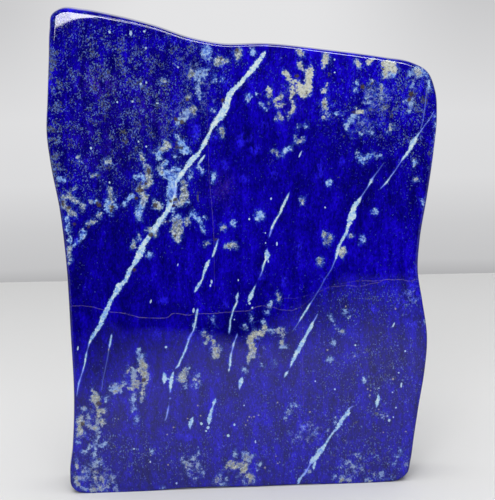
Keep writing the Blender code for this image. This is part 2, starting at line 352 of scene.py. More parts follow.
RIGHT_VEIN_LOWER = [
    (31.9, 79.6, 0.2, 0.5), (31, 77.8, 0.25, 0.6), (30.2, 76.6, 0.2, 0.8), (29.4, 75.4, 0.5),
    (28.9, 73.8, 0.8), (28, 72.4, 0.65), (27.1, 71.2, 0.6), (26.5, 69.8, 0.4), (25.9, 68.8, 0.6),
    (25.2, 67.4, 0.95), (24.2, 65.8, 0.9), (23, 63.6, 0.9), (21.8, 61.6, 0.9), (20.8, 59.6, 0.9),
    (19.8, 57.6, 0.6), (19.2, 56, 0.35), (18.6, 54.6, -0.3, 0), (17.7, 53.4, 0.3), (17.3, 52.8, 0.6),
    (16.6, 51.8, 0.55), (16.2, 51, 0.2, 0.9),
]
FOOT_VEIN = [
    (47.6, 36.4, 0.3, 0.25), (46, 35.6, 0.3, 0.6), (45.4, 34.9, 0.5), (45.4, 33.9, 0.9),
    (44.4, 32.6, 0.9), (43.2, 31.3, 0.95), (42.1, 29.8, 0.8), (41.2, 28.2, 0.9), (40.4, 27, 0.8),
    (39.6, 26, 0.55), (38.6, 24.8, 0.5, 0.8), (37.4, 23.6, 0.4), (36.6, 22.2, 0.4), (35.8, 21, 0.45),
    (34.8, 19.4, 0.4), (34, 18.2, 0.7), (32.7, 16.6, 1.3), (31.4, 15, 1.4), (30.2, 13.4, 1.3),
    (28.8, 11.9, 1.4), (27.8, 10.8, 0.9), (27, 9.5, 0.3, 0.5), (26.2, 7.8, 0.35, 0.6),
    (25.4, 6.5, 0.5, 0.8), (23.8, 4.6, 0.45, 0.9), (22.4, 3.2, 0.55), (21.6, 1.2, 0.6), (21, -1, 0.5),
]
FOOT_VEIN_STUB = [(29.6, 10.6, 0.6), (29, 9.2, 0.6), (28.9, 7.6, 0.35)]
OUTER_VEIN = [
    (86.5, 170.5, 0.1, 0.4), (84, 166.5, 0.15, 0.7), (82, 164, 0.08, 0.6), (80, 161.3, 0.14, 0.8),
    (78.5, 159.3, 0.5), (77, 157, 1.2), (76, 155, 1.2), (75, 153, 0.5), (73.5, 151.3, 0.6),
    (72.3, 149.8, 0.5), (71, 148, 0.12, 0.7), (69, 145, 0.08, 0.5), (67.5, 143, 0.15, 0.8),
    (66.3, 141.5, 0.15, 0.8), (64.5, 139, 0.35), (62.5, 137, 0.15, 0.7), (61.4, 136, 0.1, 0.5),
]
OUTER_HAIRLINE = [
    (83.5, 181, 0.1, 0.4), (82.8, 176, 0.15, 0.4), (82, 170, 0.15, 0.4), (81.2, 165.5, 0.1, 0.4),
    (80.2, 162.3, 0.1, 0.4),
]
LOWER_LEFT_STREAK = [
    (-61.8, 73.4, 0.15, 0.8), (-62.1, 72, 0.4), (-62.5, 70, 0.4), (-62.9, 68.2, 0.4),
    (-63.2, 67, 0.1, 0.5), (-64.2, 62, 0.08, 0.3), (-66.6, 52, 0.08, 0.3), (-67.2, 48, 0.1, 0.35),
]
LOWER_CAPSULE = [
    (59.3, 41.1, 0.35), (59.2, 40.2, 0.9), (59, 38.8, 1), (58.7, 37.4, 0.85), (58.5, 36.2, 0.4),
    (58.2, 35.2, 0.1, 0.7),
]
VEIN_FAMILIES = {
    "veins_one": [
        MAIN_VEIN, LEFT_VEIN, MIDDLE_VEIN, RIGHT_VEIN, OUTER_VEIN, FOOT_VEIN, WHITE_DROP, WHITE_TEAR,
        LOWER_CAPSULE, TWIN_BRIDGE,
    ],
    "veins_two": [
        SPUR, LEFT_VEIN_LOWER, MIDDLE_VEIN_LEFT, RIGHT_VEIN_LOWER, FOOT_VEIN_STUB, OUTER_HAIRLINE,
    ],
    "veins_three": [MIDDLE_VEIN_LOWER, WHITE_GRAIN, TWIN_TEAR, LOWER_LEFT_STREAK],
}
VEIN_NONE = -3.0         # half width where there is no vein near
FAR_OFF = 50.0           # offset where there is no vein near
MARK_MARGIN = 1.6 * PITCH    # how far past its edge a mark is kept, so that it lasts between vertices
END_TAPER = 0.8          # half width that a vein loses for each mm past its end
VEIN_DEEP_SHARE = 0.45   # how much of its width a vein loses and gains again on its way to the back


def stroke_marks(strokes, x, z):
    """Signed offset from the nearest stroke, its half width and its strength, at each vertex.

    The offset is measured square to the stroke and changes sign across it, so its size is true
    anywhere between vertices. Past a stroke's end the half width shrinks with the distance.
    """
    nearest = np.full(len(x), np.inf)
    marks = np.column_stack([np.full(len(x), FAR_OFF), np.full(len(x), VEIN_NONE), np.zeros(len(x))])
    for stroke in strokes:
        path = np.array([(*point, 1.0)[:4] for point in stroke])
        for step, (start, end) in enumerate(zip(path, path[1:])):
            run = end[:2] - start[:2]
            length = np.linalg.norm(run)
            across = (run[0] * (z - start[1]) - run[1] * (x - start[0])) / length
            reach = ((x - start[0]) * run[0] + (z - start[1]) * run[1]) / length
            share = np.clip(reach / length, 0.0, 1.0)
            apart = np.hypot(across, reach - share * length)
            past_start = np.maximum(-reach, 0.0) * (step == 0)
            past_end = np.maximum(reach - length, 0.0) * (step == len(path) - 2)
            past = past_start + past_end
            closer = apart < nearest
            offset = np.where(past > 0, across, np.copysign(apart, across))
            half = start[2] + share * (end[2] - start[2]) - END_TAPER * past
            strength = start[3] + share * (end[3] - start[3])
            marks[closer] = np.column_stack([offset, half, strength])[closer]
            nearest[closer] = apart[closer]
    far = np.abs(marks[:, 0]) > marks[:, 1] + MARK_MARGIN
    marks[far, 1] = VEIN_NONE
    return marks


deep_width = 1.0 - VEIN_DEEP_SHARE * np.sin(np.pi * back_depth) ** 2
for family, strokes in VEIN_FAMILIES.items():
    marks = stroke_marks(strokes, mark_x, mark_z)
    marks[:, 1] = np.where(marks[:, 1] > 0, marks[:, 1] * deep_width, marks[:, 1])
    store(family, marks.T)

# A healed crack: it crosses the whole slab nearly level, polished flush, a hair wide, and shows
# only as a thin tan line that parts in two towards the right. Two fainter seams stand upright.
CRACK = [
    (-81, 86.9, 0.12, 0.5), (-77.4, 86.8, 0.13, 0.6), (-75, 87, 0.13, 0.7), (-72.4, 86.5, 0.13, 0.8),
    (-69.8, 86.2, 0.14, 0.8), (-68.2, 85.6, 0.16), (-67, 85.1, 0.14, 0.9), (-65, 84.7, 0.14, 0.8),
    (-63, 83.9, 0.14, 0.7), (-61, 83.5, 0.14, 0.9), (-58.2, 83.3, 0.15, 0.9), (-55.2, 82.7, 0.16),
    (-53, 81.9, 0.15, 0.9), (-51, 81.4, 0.15, 0.9), (-49.4, 80.7, 0.16), (-47, 80.6, 0.15, 0.9),
    (-43, 80.2, 0.15, 0.9), (-39, 80.1, 0.15, 0.9), (-36.2, 80.2, 0.15, 0.9), (-34.6, 81.8, 0.15, 0.9),
    (-33, 82.1, 0.15, 0.9), (-30.6, 81.8, 0.15), (-28.6, 81.3, 0.15), (-26.6, 81, 0.15, 0.9),
    (-23.8, 81.4, 0.15, 0.9), (-21.4, 81.6, 0.15), (-17, 81.4, 0.15), (-13.8, 81.5, 0.15, 0.9),
    (-10.6, 81.8, 0.15, 0.9), (-7.4, 81.8, 0.15, 0.9), (-5, 82.1, 0.15, 0.9), (-1.8, 82, 0.14, 0.8),
    (1, 82.3, 0.14, 0.8), (3, 83.3, 0.14, 0.8), (4.6, 84, 0.15, 0.9), (7, 84.3, 0.14, 0.8),
    (9.4, 83.6, 0.14, 0.8), (12.2, 83.3, 0.14, 0.8), (14.2, 82.4, 0.13, 0.7), (17.4, 81.8, 0.13, 0.7),
    (20.6, 81.7, 0.13, 0.7), (22.6, 82.4, 0.12, 0.6), (25, 83.6, 0.1, 0.3), (28, 86, 0.1, 0.2),
    (32, 89.5, 0.1, 0.3), (38, 92.2, 0.12, 0.6), (42, 92, 0.13, 0.7), (43.6, 92.4, 0.13, 0.7),
    (46, 92.5, 0.14, 0.8), (49.6, 91.8, 0.13, 0.8), (51.6, 91.7, 0.13, 0.7), (53.6, 92, 0.12, 0.6),
    (55.2, 92.6, 0.13, 0.7), (58, 93, 0.13, 0.7), (60.4, 93.4, 0.14, 0.8), (62.4, 94.4, 0.15),
    (64.8, 94.6, 0.15), (67.2, 94.2, 0.15), (69.6, 94.5, 0.15), (71.2, 94.2, 0.15, 0.9),
    (72.8, 93.7, 0.15, 0.9), (75.2, 93.4, 0.14, 0.8), (76.4, 94, 0.14, 0.7), (79, 94.6, 0.14, 0.7),
]
CRACK_BRANCH = [
    (15, 87.3, 0.1, 0.3), (18, 87.4, 0.1, 0.35), (22, 87.1, 0.1, 0.3), (30, 89, 0.08, 0.1),
    (42, 93, 0.08, 0.15), (49, 94.2, 0.11, 0.4), (52, 94.4, 0.13, 0.7), (55.2, 94.3, 0.13, 0.7),
    (58.2, 93.9, 0.13, 0.6), (60, 94.2, 0.13, 0.8), (61.6, 94.2, 0.1, 0.6),
]
LILAC_SEAM = [
    (-16.2, 192, 0.1, 0.2), (-15.8, 165, 0.12, 0.3), (-16, 145, 0.13, 0.45), (-14.9, 128, 0.13, 0.5),
    (-14.5, 116, 0.13, 0.45), (-14.6, 102, 0.1, 0.3), (-14.8, 92, 0.1, 0.15),
]
RIGHT_SEAM = [
    (25.2, 83, 0.1, 0.1), (25, 76, 0.12, 0.3), (24.8, 65, 0.12, 0.35), (24.6, 50, 0.12, 0.3),
    (24.6, 36, 0.1, 0.25),
]
store("crack", stroke_marks([CRACK], mark_x, mark_z).T)
store("crack_branch", stroke_marks([CRACK_BRANCH, LILAC_SEAM, RIGHT_SEAM], mark_x, mark_z).T)

# Patches where the blue gives way to other minerals: pale blue and grey beige calcite, dark and
# olive spots, and a more vivid blue. Each is x, z, half width, half height and, where it is turned
# anticlockwise, by how many degrees. The finish breaks up their edges.
PALE_PATCHES = [
    (-15.5, 199, 2.2, 3.6), (-18.5, 189.5, 4, 2.3, 35), (-12, 188.2, 0.7, 2), (-8.8, 187.2, 1, 0.8),
    (-20, 183, 1, 2.5), (-19.3, 180, 1, 2), (-26, 171.5, 5, 2, 40), (-21.5, 171.5, 1, 1),
    (-13.5, 173.5, 1.5, 1), (-31, 152.7, 1, 0.6), (-32.3, 129.3, 1, 1.2), (-24.5, 147, 0.6, 0.8),
    (-24, 144, 0.6, 0.8), (-83, 144.5, 1.2, 1.2), (-80.5, 144, 0.8, 0.8), (-79, 116.5, 1, 1),
    (-77, 115, 1, 0.8), (-33, 124.5, 0.8, 0.8), (-30.3, 126, 0.8, 0.8), (-5.5, 122.5, 1.7, 1),
    (-14, 143.5, 1, 2.3), (5, 198.8, 1, 1.8), (2.8, 178.5, 0.6, 1.7), (5.5, 180, 0.6, 0.6),
    (8.7, 175.3, 0.8, 0.8), (10, 173.5, 0.8, 0.8), (40.5, 174.5, 0.6, 0.8), (42, 170.5, 0.6, 0.6),
    (44.5, 170.3, 0.7, 0.6), (25, 165, 0.9, 0.9), (57.5, 162, 1, 1.6), (79.5, 188.5, 2.5, 2.5),
    (76.5, 187.5, 1.6, 1.4), (76.6, 182.6, 0.7, 1.9, -25), (83.5, 187, 1, 1.6), (84.3, 182, 0.8, 2.5),
    (73.8, 175.8, 1, 1), (76, 173.5, 1, 2.5), (75.2, 170.8, 0.8, 0.8), (51.7, 152, 0.7, 1.5),
    (52.5, 149.8, 0.7, 1.3, 20), (53.5, 148.3, 1, 0.7), (55.5, 150.5, 0.7, 1), (58.5, 151.5, 1.6, 0.7),
    (61, 151.2, 0.9, 0.6), (77.3, 147.8, 1, 1.4), (86, 147, 0.6, 1.2), (86.6, 153, 0.6, 1),
    (87, 158, 0.6, 1.4), (87.4, 164, 0.6, 1.2), (87.2, 168, 0.6, 1), (38, 139.7, 1.1, 1.2),
    (6.5, 125.5, 1.8, 2.3), (59, 125.7, 1.1, 1), (53, 112.7, 0.9, 1.8), (81, 129, 0.6, 1.2),
    (-24.2, 76, 0.4, 1), (-15.8, 78, 0.4, 1.6, 15), (-1, 74.8, 0.9, 1.2), (1.8, 78.4, 0.5, 2),
    (7.2, 76.4, 0.7, 1.6), (9.6, 73, 1.4, 0.5), (11.6, 72.6, 1.6, 0.5), (16, 65.2, 1.4, 0.7),
    (9.8, 83.8, 0.7, 0.7), (10.6, 85.8, 0.5, 0.5), (8.8, 81.4, 0.9, 0.8), (-1.4, 54.8, 1.3, 0.9),
    (6.4, 57, 0.6, 0.5), (11.4, 57.8, 0.5, 0.8), (-23.6, 53, 1.2, 1), (-24.3, 48.4, 0.7, 1.2),
    (-29, 48.2, 0.5, 1.3), (-53, 51.6, 1.2, 3.4), (-52, 55, 1.6, 2.4), (-48.8, 61.4, 1.6, 3),
    (-56.8, 50.4, 1.4, 0.8), (-60.8, 48.4, 2.6, 2.4), (-65.2, 43.4, 0.6, 1.3), (-53, 43, 0.9, 2.2),
    (-53.2, 38.8, 0.9, 1.6), (-51.8, 33.8, 0.7, 1.7, 15), (-75.4, 39.4, 1.6, 1.2),
    (-73.4, 35.6, 1.4, 2.2), (-73.6, 31.6, 1.6, 1.2), (-69.6, 33.4, 1.2, 2), (-70.4, 30.4, 3, 1),
    (-69.8, 27.2, 0.9, 2.4), (-73.2, 21.8, 0.5, 1.1), (-70.9, 21, 0.5, 3), (-67.8, 22.2, 2.2, 0.6, 25),
    (-71.2, 17.6, 0.7, 1.6), (-76, 19.2, 1.3, 0.6), (-68.4, 14.4, 0.8, 1.6), (-71.2, 13, 1.8, 2.4),
    (-79.8, 14.8, 0.8, 1.4), (-76.6, 10.8, 0.8, 2.2, -35), (-78.6, 7.6, 1.6, 1.3),
    (-80.4, 5.8, 0.9, 2.4, 15), (-77, 2.4, 2, 0.9, -20), (-71, 1.8, 3.4, 1.5), (-71.5, 7, 0.8, 2),
    (-68.6, 6.2, 1.1, 1.8), (-65.8, 3, 1.1, 1.9), (-62.4, 1.6, 1.1, 0.9), (-63.8, 7, 0.4, 1.6, 30),
    (-78.7, 24.2, 0.6, 1), (-45.4, 18.6, 0.4, 0.7), (-40.8, 1.4, 0.7, 0.5), (-31.2, 15, 0.6, 0.9, 30),
    (-30, 12.4, 0.6, 1.6, 15), (-29.6, 9.8, 0.6, 1.3), (-29.2, 7, 0.5, 0.9, 30), (-28.7, 6.2, 0.6, 0.5),
    (-26.6, 14.2, 1.8, 0.6), (-27.8, 11.6, 0.9, 0.9), (-25.4, 11.8, 0.6, 1.2, 30),
    (-24.1, 12.4, 0.5, 1.5), (-24.4, 17.2, 0.4, 1.4), (-24, 8.2, 0.5, 0.6), (-25.6, 5.2, 1.1, 0.9, 20),
    (-22, 6.8, 0.5, 1.2), (-14.4, 6.2, 0.7, 1.4, -20), (-12.8, 1.9, 1.6, 0.7), (-11.4, 3.8, 0.7, 1.2),
    (-7, 15.6, 0.9, 1.8), (-3.2, 15.2, 1, 1.4), (-1.4, 15.4, 0.8, 1), (0.2, 14.2, 1, 0.8),
    (-1, 12.8, 0.9, 0.8), (1.4, 3.2, 0.6, 1.3), (-3.2, 3.6, 0.8, 1.3), (3.7, 10, 0.6, 1.2, -15),
    (2.5, 6.8, 0.25, 1.8, -15), (20.6, 38.4, 0.6, 0.7), (21.6, 37.4, 0.6, 0.6),
    (19, 36.4, 0.6, 1.6, -20), (17.6, 34.6, 0.7, 0.8), (16.2, 31.6, 0.8, 0.9), (39, 29.6, 0.7, 1.6),
    (38.2, 77.6, 0.4, 1.4, 25), (44.5, 80.2, 0.9, 0.9), (46.3, 78, 0.6, 0.5), (39, 66.4, 0.6, 0.9),
    (37.4, 58.6, 1.3, 0.8), (42, 8, 0.9, 1.2, -30), (44.2, 9.8, 1.5, 0.6, 15),
    (46.4, 8.2, 0.7, 1.5, 25), (41.7, 3.2, 0.8, 1.5), (38.4, 3.2, 0.7, 0.6), (51.6, 6.6, 0.35, 1.2, 25),
    (53.4, 1.6, 0.8, 0.5), (60.4, 3.8, 1.1, 1.4), (59.8, 1.6, 0.7, 0.8), (63.8, 2.6, 0.8, 0.6),
    (66, 8.2, 0.7, 0.9), (67.2, 12, 0.5, 1.1), (69.4, 14.2, 0.8, 1.2), (26.8, 6.2, 1.4, 0.9),
    (48.8, 13.4, 1, 0.8), (50.4, 11.8, 0.6, 1, 30), (44.8, 1.6, 1.2, 0.9), (81.3, 74.4, 0.4, 0.8),
    (52.8, 48.4, 0.4, 0.9), (-49.8, 65, 0.9, 1.6), (-27.8, 56.6, 1, 0.5), (-44, 109, 1, 1),
]
BEIGE_PATCHES = [
    (36, 115.5, 0.8, 1.4), (38.2, 114.2, 0.9, 1.5), (36.8, 112, 0.9, 1), (33.5, 104, 0.9, 1.8),
    (25.8, 131.3, 0.8, 1), (77.8, 140.1, 1.1, 0.8), (-9.8, 120.6, 1.3, 0.9), (-9.8, 195.5, 2.3, 2),
    (-6.5, 195.3, 1, 1), (-1.5, 198.5, 1.6, 2.4), (-22.5, 190, 1.3, 2), (-24.6, 179, 1, 1.2),
    (-22.3, 174, 1.5, 2), (-35.5, 187.5, 1.2, 0.5), (-7.6, 176.4, 1.3, 1.3), (-9.5, 164, 1, 2.3),
    (79.5, 188.8, 1.7, 1.7), (43.5, 107.7, 1.6, 2.1), (47.7, 115.3, 0.9, 1.2), (-6.3, 112.2, 2.6, 1.1),
    (14, 89.2, 0.7, 1), (14.4, 86.8, 0.35, 1.4), (7.6, 74.4, 1, 1.4), (6, 71.4, 1.5, 1.1),
    (3.3, 71.6, 1.6, 1.2), (1.2, 69.6, 1.4, 1.4), (1, 67.6, 1.3, 1.8), (1.4, 65.2, 1.5, 1.7),
    (2.5, 63.8, 1.5, 1.5), (1.4, 61.6, 1.2, 1.4, 30), (0, 59.4, 0.5, 1.8), (13.6, 72.8, 1.2, 0.7),
    (15.5, 72.4, 1, 1.2), (16, 70.8, 0.6, 1), (15.5, 67.4, 0.7, 1.4), (-19.6, 71.8, 1.1, 1.6),
    (-18, 70.6, 1.3, 0.7, -20), (-19.4, 68.4, 0.7, 0.9), (-15.8, 68, 0.8, 1.5), (-15.2, 64.6, 1.5, 1.6),
    (-13.2, 65.6, 0.9, 1.4), (-14.8, 62.2, 1.6, 1.2), (-30.6, 52.6, 1.9, 2.6), (-29, 55, 1, 1.6),
    (-24.2, 51, 1.6, 0.6, -35), (-22.4, 48.8, 0.9, 0.6), (-48.2, 57, 2.4, 2.8), (-47.4, 53.8, 1.8, 1.8),
    (-48.6, 60.4, 1.1, 1.6), (-51.4, 50.4, 1.8, 1.8), (-53.8, 48.3, 1.5, 1.2), (-47.6, 49.8, 1.2, 1.4),
    (-48.6, 45.6, 1, 2.2), (-49.2, 42.8, 0.6, 0.8), (-61.6, 49.8, 1.2, 0.7), (-61, 46.9, 1.6, 0.7),
    (-59, 49.2, 0.8, 0.8), (-55.2, 55.4, 0.4, 1.6, -25), (-71, 47.2, 0.8, 1.2), (-70.1, 44.4, 1.9, 2.6),
    (-69.8, 40, 1.2, 1.3), (-68.1, 38.2, 1.8, 1.5), (-69.4, 36, 0.7, 1), (-67.4, 32.5, 1.1, 1.6),
    (-75.6, 39.8, 0.8, 0.8), (-77.4, 35.8, 1, 1.2), (-77.4, 33.5, 1.7, 1.5), (-78, 31.4, 1.2, 1.2),
    (-77.5, 29.4, 1.7, 1.8), (-78, 27.3, 1.3, 1.2), (-76.2, 27.2, 0.7, 1.1), (-73.8, 31, 1, 0.6),
    (-71, 30.4, 1.3, 0.6), (-79.6, 12.8, 0.8, 1.4), (-80.3, 6.4, 0.8, 1.9), (-79.2, 4.4, 1.1, 0.8, -30),
    (-72.4, 1.7, 1.5, 1.1), (-69.6, 1.7, 0.9, 0.9), (-71, 9.6, 1.6, 0.8, -10), (-71.6, 6.6, 0.5, 1.4),
    (-68.6, 5.6, 0.7, 1.1), (-15.6, 3.8, 1.1, 1.8, -15), (-9, 11.2, 2.1, 1.6), (-8.2, 9.4, 2, 1),
    (-5.8, 10.8, 1.6, 1.5), (-3.4, 8.3, 1.9, 1.7), (-2.6, 10.4, 1, 1.4), (-3, 12.4, 0.6, 1.4),
    (-1.2, 5.4, 1.7, 1.3), (0.4, 4.6, 1, 1.2), (-0.8, 2.6, 0.9, 1.4), (-10.8, 10.4, 0.8, 0.9),
    (-1.8, 14.6, 1.2, 0.6), (-30, 11.8, 0.4, 1.1, 15), (43, 71.1, 0.7, 0.6), (40.5, 73.6, 0.5, 0.5),
    (48.5, 59.6, 1, 0.6), (62, 31.5, 1.3, 0.5), (60.7, 32.4, 0.7, 0.6, -30), (48.6, 13.5, 0.8, 0.6),
    (50.6, 11.6, 0.5, 0.9, 30), (41.6, 1.5, 1.4, 0.7), (45.4, 1.2, 1.2, 0.6), (55.2, 0.8, 0.9, 0.5),
    (57.2, 3.8, 0.9, 0.6), (71.4, 8.2, 0.9, 0.9), (26.8, 6.2, 0.9, 0.6),
]
DARK_PATCHES = [
    (-9, 196.4, 0.6, 0.6), (-1.9, 200, 0.8, 0.8), (-24.6, 178.4, 0.7, 0.7), (-27.4, 168.5, 0.8, 0.8),
    (-30, 170, 0.7, 0.8), (76.2, 178.5, 1, 0.9), (75.2, 176, 0.7, 0.7), (-13.5, 115, 0.5, 0.5),
    (-68.8, 41.7, 1, 0.8), (-76.4, 32.4, 0.8, 0.8), (-48, 51.9, 0.8, 0.7), (54.4, 5.8, 0.8, 0.7),
    (-50.6, 102.4, 0.8, 0.7), (-30, 157.6, 0.6, 0.9), (-29.8, 160, 0.4, 0.5), (-28, 157, 0.6, 0.5),
    (-31.4, 133.9, 0.8, 0.6), (-33.4, 133.1, 0.6, 0.5), (-40.3, 131.4, 0.8, 0.8),
    (-42.8, 118.2, 1, 0.9), (-42.8, 146.8, 0.6, 1.4), (-47, 138.3, 1.9, 0.4), (-44.2, 141.5, 0.7, 0.7),
    (-46.4, 142, 0.5, 0.4), (-47.2, 139.9, 0.5, 0.4), (-48.6, 134.9, 0.7, 0.5),
    (-60.7, 134.4, 0.5, 0.5), (-59.7, 131.3, 0.7, 0.6), (-60.3, 129.6, 0.5, 0.5),
    (-65.2, 132.3, 1.1, 0.8), (-66.3, 133.4, 0.6, 0.4), (-81.6, 133.8, 0.5, 1.3),
    (-79.2, 131.6, 1, 0.5), (-70.6, 122.6, 0.6, 0.5), (-76.9, 124.2, 0.7, 0.5),
    (-31.8, 117.6, 0.5, 0.4), (-35, 123.8, 0.4, 0.5), (24.7, 187.7, 1, 0.8), (28.7, 180.4, 0.5, 0.6),
    (36.6, 174.8, 0.6, 0.5), (50, 171, 0.5, 0.7), (58.4, 183.6, 0.6, 0.5), (54.2, 182.2, 1, 0.8),
    (63.6, 190, 0.4, 0.5), (-8.8, 177.8, 0.8, 0.8), (-32.2, 131, 0.6, 0.4),
]
OLIVE_PATCHES = [
    (37, 113.8, 2.2, 2.6), (33.6, 103.8, 1.4, 2.4), (52.8, 112.7, 1, 1.8), (47.8, 115.4, 1.6, 1.8),
    (-61.8, 148.5, 1, 1), (-67, 145.5, 2, 0.6), (-52.5, 160, 1.6, 0.6), (-54, 164.5, 2.2, 1),
    (-71.5, 174, 1, 1), (-78, 160, 1, 2.3), (38.5, 188.5, 2, 1.1), (58, 172.5, 1.5, 1),
    (64.8, 172.8, 1.5, 1), (46.2, 174.7, 1, 1), (82.5, 175.5, 1.8, 2), (84.2, 152, 0.7, 2.2),
    (42.5, 142.3, 1, 1), (42, 137, 1, 1), (39.5, 136.5, 1, 0.8), (-2, 121, 1, 1), (-21, 135, 1, 2.5),
    (-17.8, 113.6, 1, 0.8), (-50.3, 115.3, 0.8, 1.8), (57, 95.2, 0.8, 0.8), (-75.2, 106.4, 0.8, 0.8),
    (12.3, 149.7, 1.3, 1.2), (-23.6, 88, 0.6, 2.6), (-17.4, 78.8, 0.6, 1.2), (14, 93.2, 0.5, 0.9),
    (41.7, 72.4, 0.9, 0.6), (54.2, 62.6, 0.5, 1.2), (67, 69.4, 1.2, 0.6), (-67.6, 19.6, 0.8, 0.8),
    (-69, 15.6, 0.8, 0.8), (58, 32.6, 1.6, 1.1), (48.4, 28.6, 0.9, 0.8), (-12, 24.4, 0.6, 0.6),
    (37.4, 12.6, 1.4, 1.6), (77.3, 147.8, 1.5, 2), (-15.6, 61, 2, 2), (58.1, 172.4, 1, 0.9),
    (64.6, 172.6, 1.5, 1.2), (66.8, 168.4, 1, 1), (40, 169.2, 1.4, 0.9), (45.6, 160.2, 0.7, 1),
    (3, 12, 1.6, 1.6), (62, 160, 0.7, 0.8), (48, 180, 0.6, 0.8),
]
VIVID_PATCHES = [
    (-6.3, 185, 1.2, 2.4), (10, 166, 1.6, 1.6), (5, 155.5, 1.6, 1.6), (2.5, 161, 1.5, 1.5),
    (-1.2, 160, 1, 2.6), (-13, 161.5, 1.6, 1.6), (-21, 163.5, 1.3, 3.2), (-8.8, 149, 1.2, 2),
    (0.3, 142.3, 1.7, 1.4), (13.8, 143.5, 1.2, 1.6), (44.3, 148.7, 1.4, 1.4), (34.5, 145, 1, 3.4),
    (-75.7, 116.3, 1.6, 1.6), (24.3, 109, 1, 3.9), (6.2, 98, 0.9, 1.6), (-38.4, 88, 1.8, 1.6),
    (-41.6, 72, 1.6, 1.8), (-62.6, 70.2, 0.6, 2, -15), (70.6, 82.8, 2.8, 3.2), (75.2, 88, 2.6, 2.2),
    (76.4, 98.4, 1.6, 2), (75, 92, 2, 1.6), (-26.4, 71, 1, 2, -25), (-30.6, 27.2, 1, 1),
    (-28.6, 25, 1.2, 1.2), (24.6, 28, 1.4, 2.6), (-10, 86, 0.5, 1.2), (57.4, 81.2, 1.6, 2),
    (17, 95, 1.6, 2), (35.2, 95.2, 1.4, 1.4), (-53.6, 36.6, 1.6, 2.6), (-31.5, 177.5, 0.8, 3, -20),
    (76.4, 73.6, 1.8, 1.2), (3, 66, 3, 5), (-7.2, 28.2, 0.5, 0.7), (-66.4, 52.4, 0.5, 2.2),
    (-67.6, 48.2, 1, 1), (-74, 56.4, 0.5, 1.4), (-73.6, 26, 1.4, 1.2),
]
# Larger patches, drawn as strokes of x, z and half width that run into each other
PALE_SHAPES = [
    # the forked patch beside the main vein, and the flecks above it
    [(-34.6, 150.6, 0.8), (-36.2, 149.6, 1.2), (-37.5, 147.9, 1.6), (-36.6, 146.2, 1.6),
     (-34.3, 145.2, 1.5), (-32.6, 143.6, 1.8), (-32.2, 141.2, 1.9), (-32.7, 138.6, 2.3),
     (-32.8, 136, 2.2), (-33.8, 133.4, 1.4), (-34.4, 131.8, 0.9)],
    [(-31.6, 147.9, 0.6), (-30.2, 147.2, 1.1), (-29.8, 145.5, 1.3), (-30.8, 143.6, 1.2)],
    [(-20.4, 148, 0.3), (-19.6, 146.6, 0.35), (-18.4, 145.3, 0.3)],
    [(-26.4, 132.5, 1.1), (-25.3, 132.1, 0.5)],
    [(-27.1, 159.7, 0.6), (-27.2, 158.4, 1.2), (-26.4, 156.6, 1.6), (-24.9, 155.4, 0.9),
     (-24.2, 154.8, 0.3)],
    [(-30.2, 162.6, 0.4), (-29.2, 160.6, 0.7), (-28.9, 158.2, 1.1), (-27.8, 156.2, 0.9)],
    # at its left
    [(-49.5, 144.6, 0.7), (-48, 144.5, 1), (-46.2, 144.8, 0.9), (-45, 143.8, 1.6), (-45.4, 142, 1)],
    [(-46.2, 133, 1), (-46.6, 131.6, 1.7), (-47.5, 129.6, 1.6), (-48, 127.4, 1.3), (-47.8, 125.6, 0.8)],
    [(-54, 132.4, 0.6), (-53.2, 134, 0.6), (-51.2, 135.4, 0.4), (-49.8, 136.6, 0.4)],
    [(-37.4, 155.2, 1), (-38.1, 153.8, 1.4), (-37.8, 152.2, 0.8)],
    [(-38.2, 131, 1), (-37.4, 131.8, 0.7)],
    [(-23.4, 127.9, 0.5), (-23.6, 126.5, 1.1), (-21.8, 125, 0.8), (-20.4, 122.8, 0.9),
     (-19.7, 121, 0.9), (-19.1, 119.3, 0.6)],
    [(-18.5, 125.4, 0.4), (-17.9, 124.8, 0.3)],
    [(-60.5, 135, 0.9), (-61.4, 132.9, 1.6), (-61.8, 131.2, 1), (-60.9, 129.4, 1), (-60.5, 128.2, 0.5)],
    [(-59.6, 133.4, 1.3), (-58.4, 131.4, 0.8)],
    [(-80.4, 126.6, 0.5), (-80, 122.4, 0.6), (-79.8, 119.4, 0.4)],
    [(-66.8, 134, 0.6), (-67.8, 134, 0.5)],
    [(-72.8, 121.4, 0.6), (-73.2, 119.8, 1.3), (-74.8, 117, 0.7)],
    [(-66, 129, 0.5), (-65.4, 127.8, 0.4)],
    # at the upper right
    [(17.2, 152.6, 0.6), (17.6, 153.8, 0.4), (19, 154.6, 0.5), (20.5, 155.8, 0.7)],
    [(50.5, 169.3, 1.3), (49.2, 167.8, 1.3), (47.4, 166.2, 0.9), (46.8, 165.2, 0.7), (47, 163.4, 0.4)],
    [(51.8, 168.4, 0.7), (51.8, 166.6, 0.8), (53.5, 166.3, 0.5), (55.8, 166.5, 0.4)],
    [(57, 178, 0.8), (55.8, 177, 0.9), (57.5, 176, 0.7), (55.6, 174.8, 0.5)],
    [(62.4, 178.4, 1.1), (61.8, 176.6, 0.9), (64.4, 178, 0.9), (65.6, 179, 0.6)],
    [(61.3, 183.3, 1), (62.7, 182.5, 0.9), (60.6, 181.3, 0.7), (60.8, 180, 0.5)],
    [(51.8, 184, 0.4), (51.3, 182, 0.5), (50.8, 180.4, 0.3)],
    [(58.2, 184.2, 0.7), (57.4, 183, 0.4)],
    [(52.5, 162, 0.4), (53.3, 160.8, 0.5)],
    [(56, 163.6, 0.4), (56.6, 162.4, 0.4)],
    [(60, 165.5, 0.3), (61.3, 165.2, 0.4)],
    [(48, 161.4, 0.5), (48.8, 160.7, 0.3)],
    [(64.5, 187.8, 1.4), (67.5, 187.2, 1.3)],
    [(28.4, 165.8, 0.8), (28, 164.9, 0.6)],
]
